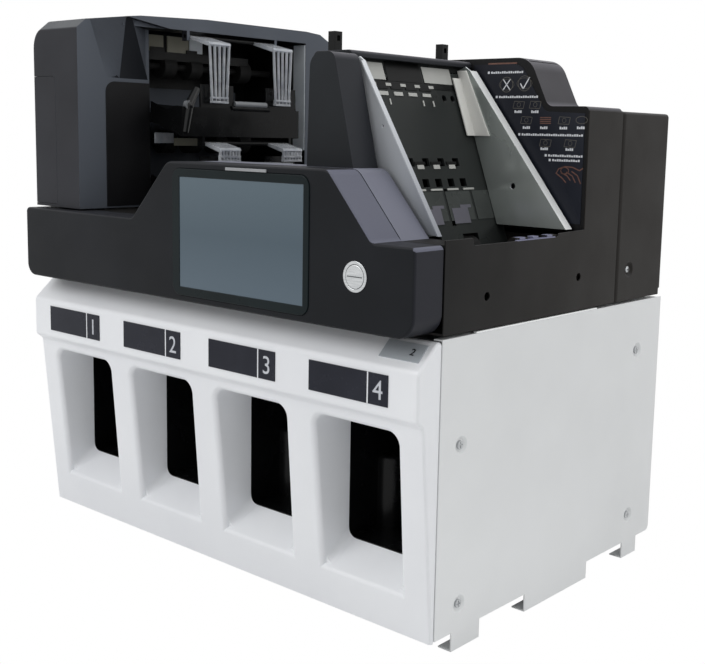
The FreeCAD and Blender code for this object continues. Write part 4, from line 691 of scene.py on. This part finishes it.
def plate_point(y, z, lift):
    """A point over the leaning back plate, in millimetres; lift is its height off the face."""
    return (PLATE_FOOT_X - PLATE_LEAN * z + OUT_X * lift, PLATE_FRONT + y,
            PLATE_FOOT_Z + z + OUT_Z * lift)


def add_plate_patch(bm, y, z, low, high):
    """A flat patch on the back plate between two lifts off its face."""
    around = [(y[0], z[0]), (y[1], z[0]), (y[1], z[1]), (y[0], z[1])]
    lift = high - low
    add_prism(bm, [plate_point(a, b, low) for a, b in around], (OUT_X * lift, 0, OUT_Z * lift))


def back_plate_details():
    """Plates, slots and windows on the hopper's back, and the covers that ride on the guides."""
    pale, dark, painted_sheen_panels, feet = bmesh.new(), bmesh.new(), bmesh.new(), bmesh.new()
    for name, body, span, low in (("front", "front_guide", (10, 48), 0.75),
                                  ("rear", "rear_guide", (108, 154), 0.5)):
        cover = bmesh.new()
        add_plate_patch(cover, span, (142.5, 158.5), low, low + 0.2)
        piece("guide_slot_cover_" + name, finish_mesh(cover), body, "guide_grey", PALE_PLATE)
    add_plate_patch(dark, (52, 105), (142, 161), 0.1, 0.45)
    add_plate_patch(dark, (13, 156), (136.5, 141.5), 0.1, 0.7)
    for k, y in enumerate((18, 40, 62, 84, 106)):
        add_plate_patch(dark, (y - 9, y + 9), (134, 139), 0.1, 0.8)
        add_plate_patch(pale, (y - 6.5, y + 6.5), (127.5 + k * 0.2, 131.4), 0.1, 0.9)
        add_plate_patch(pale, (y + 6, y + 14), (136.8, 139.6), 0.75, 0.95)
    for y in (25, 47, 98, 114):
        add_plate_patch(pale, (y - 0.9, y + 0.9), (119, 124.5), 0.1, 0.9)
    for y in (42, 68, 93, 118):
        add_plate_patch(pale, (y - 5, y + 5), (57.5, 61.4), 0.1, 0.8)
        add_plate_patch(dark, (y - 8, y + 8), (61.6, 64.5), 0.1, 0.9)
    for y in (58, 84, 110, 136):
        add_plate_patch(pale, (y - 9, y + 9), (36.6, 38.4), 0.1, 0.8)
    for y in (28, 72, 116, 160):
        add_plate_patch(painted_sheen_panels, (y - 20, y + 20), (7, 35.5), 0.1, 0.55)
    for y in (72, 116):
        add_plate_patch(feet, (y - 16, y + 10), (4, 19), 0.55, 0.9)
        add_plate_patch(feet, (y - 2, y + 16), (19, 22), 0.55, 0.9)
    # dark glossy panels coloured mid grey: partly their own dark gloss, partly painted sheen
    gloss = gloss_black("back_plate_gloss", "#3b3e3d", "#4b4f4d", 0.24)
    for name, bm, material in (("pale", pale, PALE_PLATE), ("dark", dark, SATIN_BLACK),
                               ("gloss", painted_sheen_panels, gloss), ("feet", feet, LAVENDER_PLATE)):
        piece("back_plate_" + name, finish_mesh(bm), "upper_unit", "gloss_black", material)


# ---------------------------------------------------------------- reject pockets

def finger_set(node, pivot_rise, inset, tip_rise, ribs, drop, taper):
    """Clear stop fingers: a sloping arm with ribs hanging from its free edge to a pierced bar."""
    low_corner, high_corner = in_mm(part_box(node))
    px, pz = low_corner.x + 2.5, low_corner.z + pivot_rise
    arm_end, tip = high_corner.x - inset, low_corner.z + tip_rise
    half, knee = 16, pz - drop
    clear = bmesh.new()
    for middle in (low_corner.y + 21, high_corner.y - 21):
        span = (middle - half, middle + half)
        add_prism(clear, [(px - 2, span[0], pz - 1.6), (px - 2, span[0], pz + 2),
                          (arm_end, span[0], knee + 2), (arm_end + 1.5, span[0], knee - 1),
                          (arm_end - 2.5, span[0], knee - 2.5)], (0, 2 * half, 0))
        foot = arm_end - 0.5
        for k in range(ribs):
            share = k / (ribs - 1) - 0.5
            top_y = middle + share * (2 * half - 3)
            foot_y = middle + share * (2 * (half - taper) - 3)
            add_rod(clear, (arm_end - 0.6, top_y, knee - 1), (foot, foot_y, tip + 5), 1.6, 8)
        narrow = (middle - half + taper, middle + half - taper)
        for low, high in ((0, 2.6), (5, 7.4)):
            add_block(clear, (foot - 2.4, foot + 2), narrow, (tip + low, tip + high))
        for k in range(ribs):
            y = narrow[0] + 1 + k * (narrow[1] - narrow[0] - 2) / (ribs - 1)
            add_block(clear, (foot - 2, foot + 1.6), (y - 1, y + 1), (tip + 2.4, tip + 5.2))
    body = BODY_OF[node]
    obj = piece(node + "_comb", finish_mesh(clear), body, "clear_plastic")
    soften(obj, 0.35 * MM, 2, 50)
    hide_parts(node)
    bm = bmesh.new()
    add_rod(bm, (px, low_corner.y, pz), (px, high_corner.y, pz), 2.4)
    piece(node + "_shaft", bm, body, "clear_plastic", SATIN_BLACK)


def reject_pocket_details():
    """Plates and bracket behind the upper pocket, and on the housing's rear cheek a pale patch of
    painted light beside a dark patch of painted shade.
    """
    tray_low, tray_high = in_mm(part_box("reject_tray_upper"))
    housing = in_mm(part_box("left_housing"))[1]
    corner = (tray_low.x, tray_low.y, housing.z)
    bm = bmesh.new()
    for span in ((6, 43), (49, 81)):
        add_block(bm, (26, 27.5), span, (-38, -19), corner)
    piece("upper_pocket_back", bm, "upper_unit", "bracket_grey", OLIVE_PLATE)
    bm = bmesh.new()
    add_block(bm, (26, 27.5), (83, 103), (-37, -19), corner)
    piece("upper_pocket_back_end", bm, "upper_unit", "bracket_grey", BLUE_GREY)
    bm = bmesh.new()
    add_block(bm, (27.6, 29.5), (3, 177), (-48, -38), corner)
    add_block(bm, (27.6, 29.5), (23, 43), (-38, -33), corner)
    add_block(bm, (27.6, 29.5), (77, 93), (-38, -34), corner)
    piece("upper_pocket_bracket", bm, "upper_unit", "gloss_black", SATIN_BLACK)
    corner = (housing.x, tray_high.y, housing.z)
    # painted light on the rear cheek's right part, painted shade to its left
    for name, across, material in (("painted_light_patch", (-21, -0.6), BLUE_GREY), ("shade", (-31, -21.2), PAINTED_SHADE_GREY)):
        bm = bmesh.new()
        add_block(bm, across, (-1.1, -0.1), (-153, -19), corner)
        piece("rear_cheek_" + name, bm, "upper_unit", "black_moulding", material)


def door_rebate():
    """Dark strip inside the left wall that closes the running gap over the access door."""
    low, high = in_mm(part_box("access_door"))
    overlap, top = 8, high.z - 6
    bm = bmesh.new()
    add_block(bm, (low.x + 2.9, low.x + 4.4), (low.y + overlap, high.y + overlap), (top - 5, top + 6))
    piece("access_door_rebate", bm, "upper_unit", "black_moulding", SATIN_BLACK)


def tray_details():
    """Turned boss, cross bar and strut of the upper tray, and the lower pocket's lip and plates."""
    upper, lower = in_mm(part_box("reject_tray_upper"))[0], in_mm(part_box("reject_tray_lower"))[0]

    def place(x, y, z):
        return upper + Vector((x, y, z))

    # grey bar and boss with painted highlight: brightened for the light they catch
    grey_painted_highlight = plain("satin_bar_painted_highlight", "#6a6d70", "#7d8083", 0.25, Specular_IOR_Level=0.6)
    bm = bmesh.new()
    add_rod(bm, place(113.5, 79.2, 51), place(113.5, 129.8, 51), 3.6, 28)
    add_rod(bm, place(112, 9.5, 48), place(116.5, 9.5, 48), 5, 28)
    obj = piece("upper_tray_bar", bm, "upper_unit", "gloss_black", grey_painted_highlight)
    smooth(obj, 40)
    sheen = plain("moulded_sheen", "#101112", "#181a1b", 0.22, Specular_IOR_Level=0.28)
    joint = place(113, 12, 47)
    bm = bmesh.new()
    add_rod(bm, joint, place(113, 24, 67), 5.5, 24, 4)
    add_rod(bm, joint, place(113, 6, 17), 5.5, 24, 4.5)
    elbow = bmesh.ops.create_uvsphere(bm, u_segments=24, v_segments=14, radius=6 * MM)["verts"]
    bmesh.ops.translate(bm, verts=elbow, vec=joint * MM)
    add_rod(bm, place(112, 9, 30), place(63, 3.5, 44), 1.5, 16, 1.3)
    web = [place(x, 2.5, z) for x, z in ((111, 46), (59, 49), (59, 27), (111, 19))]
    add_prism(bm, web, (0, 1.6, 0))
    obj = piece("upper_tray_strut", bm, "upper_unit", "gloss_black", sheen)
    smooth(obj, 40)
    bm = bmesh.new()
    add_block(bm, (117.5, 149), (7, 143), (46.4, 47.9), lower)
    obj = piece("lower_tray_lip", bm, "upper_unit", "gloss_black",
                plain("lip_silver", "#85888c", "#9a9da1", 0.25, Specular_IOR_Level=0.5))
    soften(obj, 0.4 * MM)
    bm = bmesh.new()
    add_block(bm, (61, 62.5), (3, 30), (69, 81), lower)
    piece("lower_pocket_clear_plate", bm, "upper_unit", "clear_plastic")
    bm = bmesh.new()
    add_block(bm, (61, 62.5), (31.5, 76), (66, 75), lower)
    piece("lower_pocket_back", bm, "upper_unit", "bracket_grey", OLIVE_PLATE)


SOFT_EDGES = {  # millimetres
    "front_bezel": 1.4, "side_panel_left": 0.3, "side_panel_right": 0.3, "front_cover": 0.8,
    "console_housing": 0.8, "rear_housing": 1.6, "electronics_box": 0.8, "hopper_tower": 2.2,
    "hopper_ridge": 0.7, "side_cover_right": 0.3, "left_housing": 1.2, "access_door": 0.9,
    "cheek_panel": 0.3, "reject_tray_upper": 0.6, "reject_tray_lower": 0.6,
    "note_guide_front": 0.4, "note_guide_rear": 0.4, "guide_bracket": 0.5, "screen_frame": 0.5,
    "power_button": 0, "button_ring": 0.3, "hopper_back_plate": 0.4, "pocket_liners": 1.0,
    "lcd_panel": 0.2, "panel_screws": 0.2,
}

dress_nodes()
finished = {}
for node_name, edge in SOFT_EDGES.items():
    finished[node_name] = moulded(node_name, edge * MM)
guide_low, guide_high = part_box("note_guide_rear")
GRIP_RIGHT, GRIP_FOOT = guide_low.x + 10.5 * MM, guide_high.z - 29 * MM
PLATE_START, EDGE_START = guide_low.x + 17 * MM, guide_low.y + 6.5 * MM
housing_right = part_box("left_housing")[1].x
POCKET_WALL, POCKET_ROOF, REAR_CHEEK = housing_right - 34 * MM, housing_right - 8 * MM, 50 * MM
for side in ("note_guide_front", "note_guide_rear"):
    repaint(finished[side], SATIN_BLACK, lambda at, way: at.x < GRIP_RIGHT and at.z > GRIP_FOOT)
# painted highlight on the rear guide's folded flange
repaint(finished["note_guide_rear"], EDGE_PAINTED_HIGHLIGHT,
        lambda at, way: at.y > EDGE_START and at.x > PLATE_START)
# painted shade: the pocket's inner walls, the hood's underside and the rear cheek's front take the
# near-black cheek finish
repaint(finished["left_housing"], CHEEK, lambda at, way: (
    way.x > 0.5 and at.x < POCKET_WALL or way.z < -0.5 and at.x < POCKET_ROOF
    or way.y < -0.9 and at.y > REAR_CHEEK))
# painted sheen on the front cover's faces that look up and to the right
repaint(finished["front_cover"], SLOPE_PAINTED_SHEEN, lambda at, way: 0.3 < way.z < 0.95 and way.x > 0.3)
# painted shade on the housing's facets that look down
repaint(finished["left_housing"], HOUSING_PAINTED_SHADE, lambda at, way: abs(way.y) < 0.03 and way.z < -0.3)
# painted reflection on the rear guide's plated face
repaint(finished["note_guide_rear"], REFLECTION_PAINTED_PLATE, lambda at, way: way.y < -0.9 and at.x > PLATE_START)
pocket_numbers()
mouth_fillets()
badge_number()
floor_lip()
top_flange()
screen_tab()
button_detail()
instruction_print()
box_screw()
back_plate_details()
finger_set("finger_stops_upper", pivot_rise=73, inset=5, tip_rise=-3, ribs=5, drop=9, taper=3.5)
finger_set("finger_stops_lower", pivot_rise=24, inset=4, tip_rise=3, ribs=7, drop=7, taper=0.5)
reject_pocket_details()
door_rebate()
tray_details()


# ---------------------------------------------------------------- stage, lights and camera

def seen_directly(tree):
    """1 for rays from the camera, off a gloss or through glass, and 0 for the rest."""
    path = tree.nodes.new("ShaderNodeLightPath")
    total = path.outputs["Is Camera Ray"]
    for ray in ("Is Glossy Ray", "Is Transmission Ray"):
        add = tree.nodes.new("ShaderNodeMath")
        add.operation = "MAXIMUM"
        tree.links.new(total, add.inputs[0])
        tree.links.new(path.outputs[ray], add.inputs[1])
        total = add.outputs["Value"]
    return total


def floor():
    """Pale floor that keeps the shadow on it and runs out into the white background."""
    bm = bmesh.new()
    bmesh.ops.create_grid(bm, x_segments=1, y_segments=1, size=6)
    mesh = bpy.data.meshes.new("floor")
    bm.to_mesh(mesh)
    bm.free()
    obj = bpy.data.objects.new("floor", mesh)
    bpy.context.scene.collection.objects.link(obj)
    material = bpy.data.materials.new("pale_floor")
    material.use_nodes = True
    tree = material.node_tree
    shader = tree.nodes["Principled BSDF"]
    shader.inputs["Base Color"].default_value = (0.82, 0.82, 0.82, 1)
    shader.inputs["Roughness"].default_value = 0.9
    shader.inputs["Specular IOR Level"].default_value = 0.0
    glow = tree.nodes.new("ShaderNodeEmission")
    mixed = tree.nodes.new("ShaderNodeMixShader")
    tree.links.new(seen_directly(tree), mixed.inputs["Fac"])
    tree.links.new(shader.outputs["BSDF"], mixed.inputs[1])
    tree.links.new(glow.outputs["Emission"], mixed.inputs[2])
    tree.links.new(mixed.outputs["Shader"], tree.nodes["Material Output"].inputs["Surface"])
    mesh.materials.append(material)


def surroundings(strength):
    world = bpy.data.worlds.new("studio")
    bpy.context.scene.world = world
    world.use_nodes = True
    tree = world.node_tree
    background = tree.nodes["Background"]
    background.inputs["Color"].default_value = (1, 1, 1, 1)
    level = tree.nodes.new("ShaderNodeMapRange")
    tree.links.new(seen_directly(tree), level.inputs["Value"])
    level.inputs["To Min"].default_value = strength
    level.inputs["To Max"].default_value = 1.0
    tree.links.new(level.outputs["Result"], background.inputs["Strength"])


def softbox(name, at, aim, size, power):
    light = bpy.data.lights.new(name, "AREA")
    light.shape = "RECTANGLE"
    light.size, light.size_y = size
    light.energy = power
    obj = bpy.data.objects.new(name, light)
    obj.location = at
    obj.rotation_euler = (Vector(aim) - Vector(at)).to_track_quat("-Z", "Y").to_euler()
    obj.visible_camera = False
    bpy.context.scene.collection.objects.link(obj)


def camera():
    """Standing view from the front right, a little above the machine's middle."""
    lens = bpy.data.cameras.new("camera")
    lens.sensor_width = 36
    lens.lens = 56.28
    lens.shift_x, lens.shift_y = -0.0521, -0.0539
    azimuth, elevation, roll = (math.radians(a) for a in (40.60, 8.18, 1.254))
    forward = Vector((-math.sin(azimuth) * math.cos(elevation),
                      math.cos(azimuth) * math.cos(elevation), -math.sin(elevation)))
    level = forward.cross(Vector((0, 0, 1))).normalized()
    upright = level.cross(forward)
    right = math.cos(roll) * level + math.sin(roll) * upright
    up = -math.sin(roll) * level + math.cos(roll) * upright
    obj = bpy.data.objects.new("camera", lens)
    turn = Matrix((right, up, -forward)).transposed().to_4x4()
    obj.matrix_world = Matrix.Translation((0.85669, -0.9086, 0.46139)) @ turn
    bpy.context.scene.collection.objects.link(obj)
    bpy.context.scene.camera = obj


floor()
surroundings(0.53)
MIDDLE = (0, 0, 0.3)
softbox("key_softbox", (-1.2, -2.4, 2.2), MIDDLE, (1.8, 1.8), 34)
softbox("top_softbox", (0.3, 0.2, 2.6), MIDDLE, (2.2, 2.2), 22)
softbox("side_softbox", (2.4, 0.9, 1.3), MIDDLE, (1.4, 1.4), 11)
camera()
bpy.context.scene.view_settings.view_transform = "Standard"
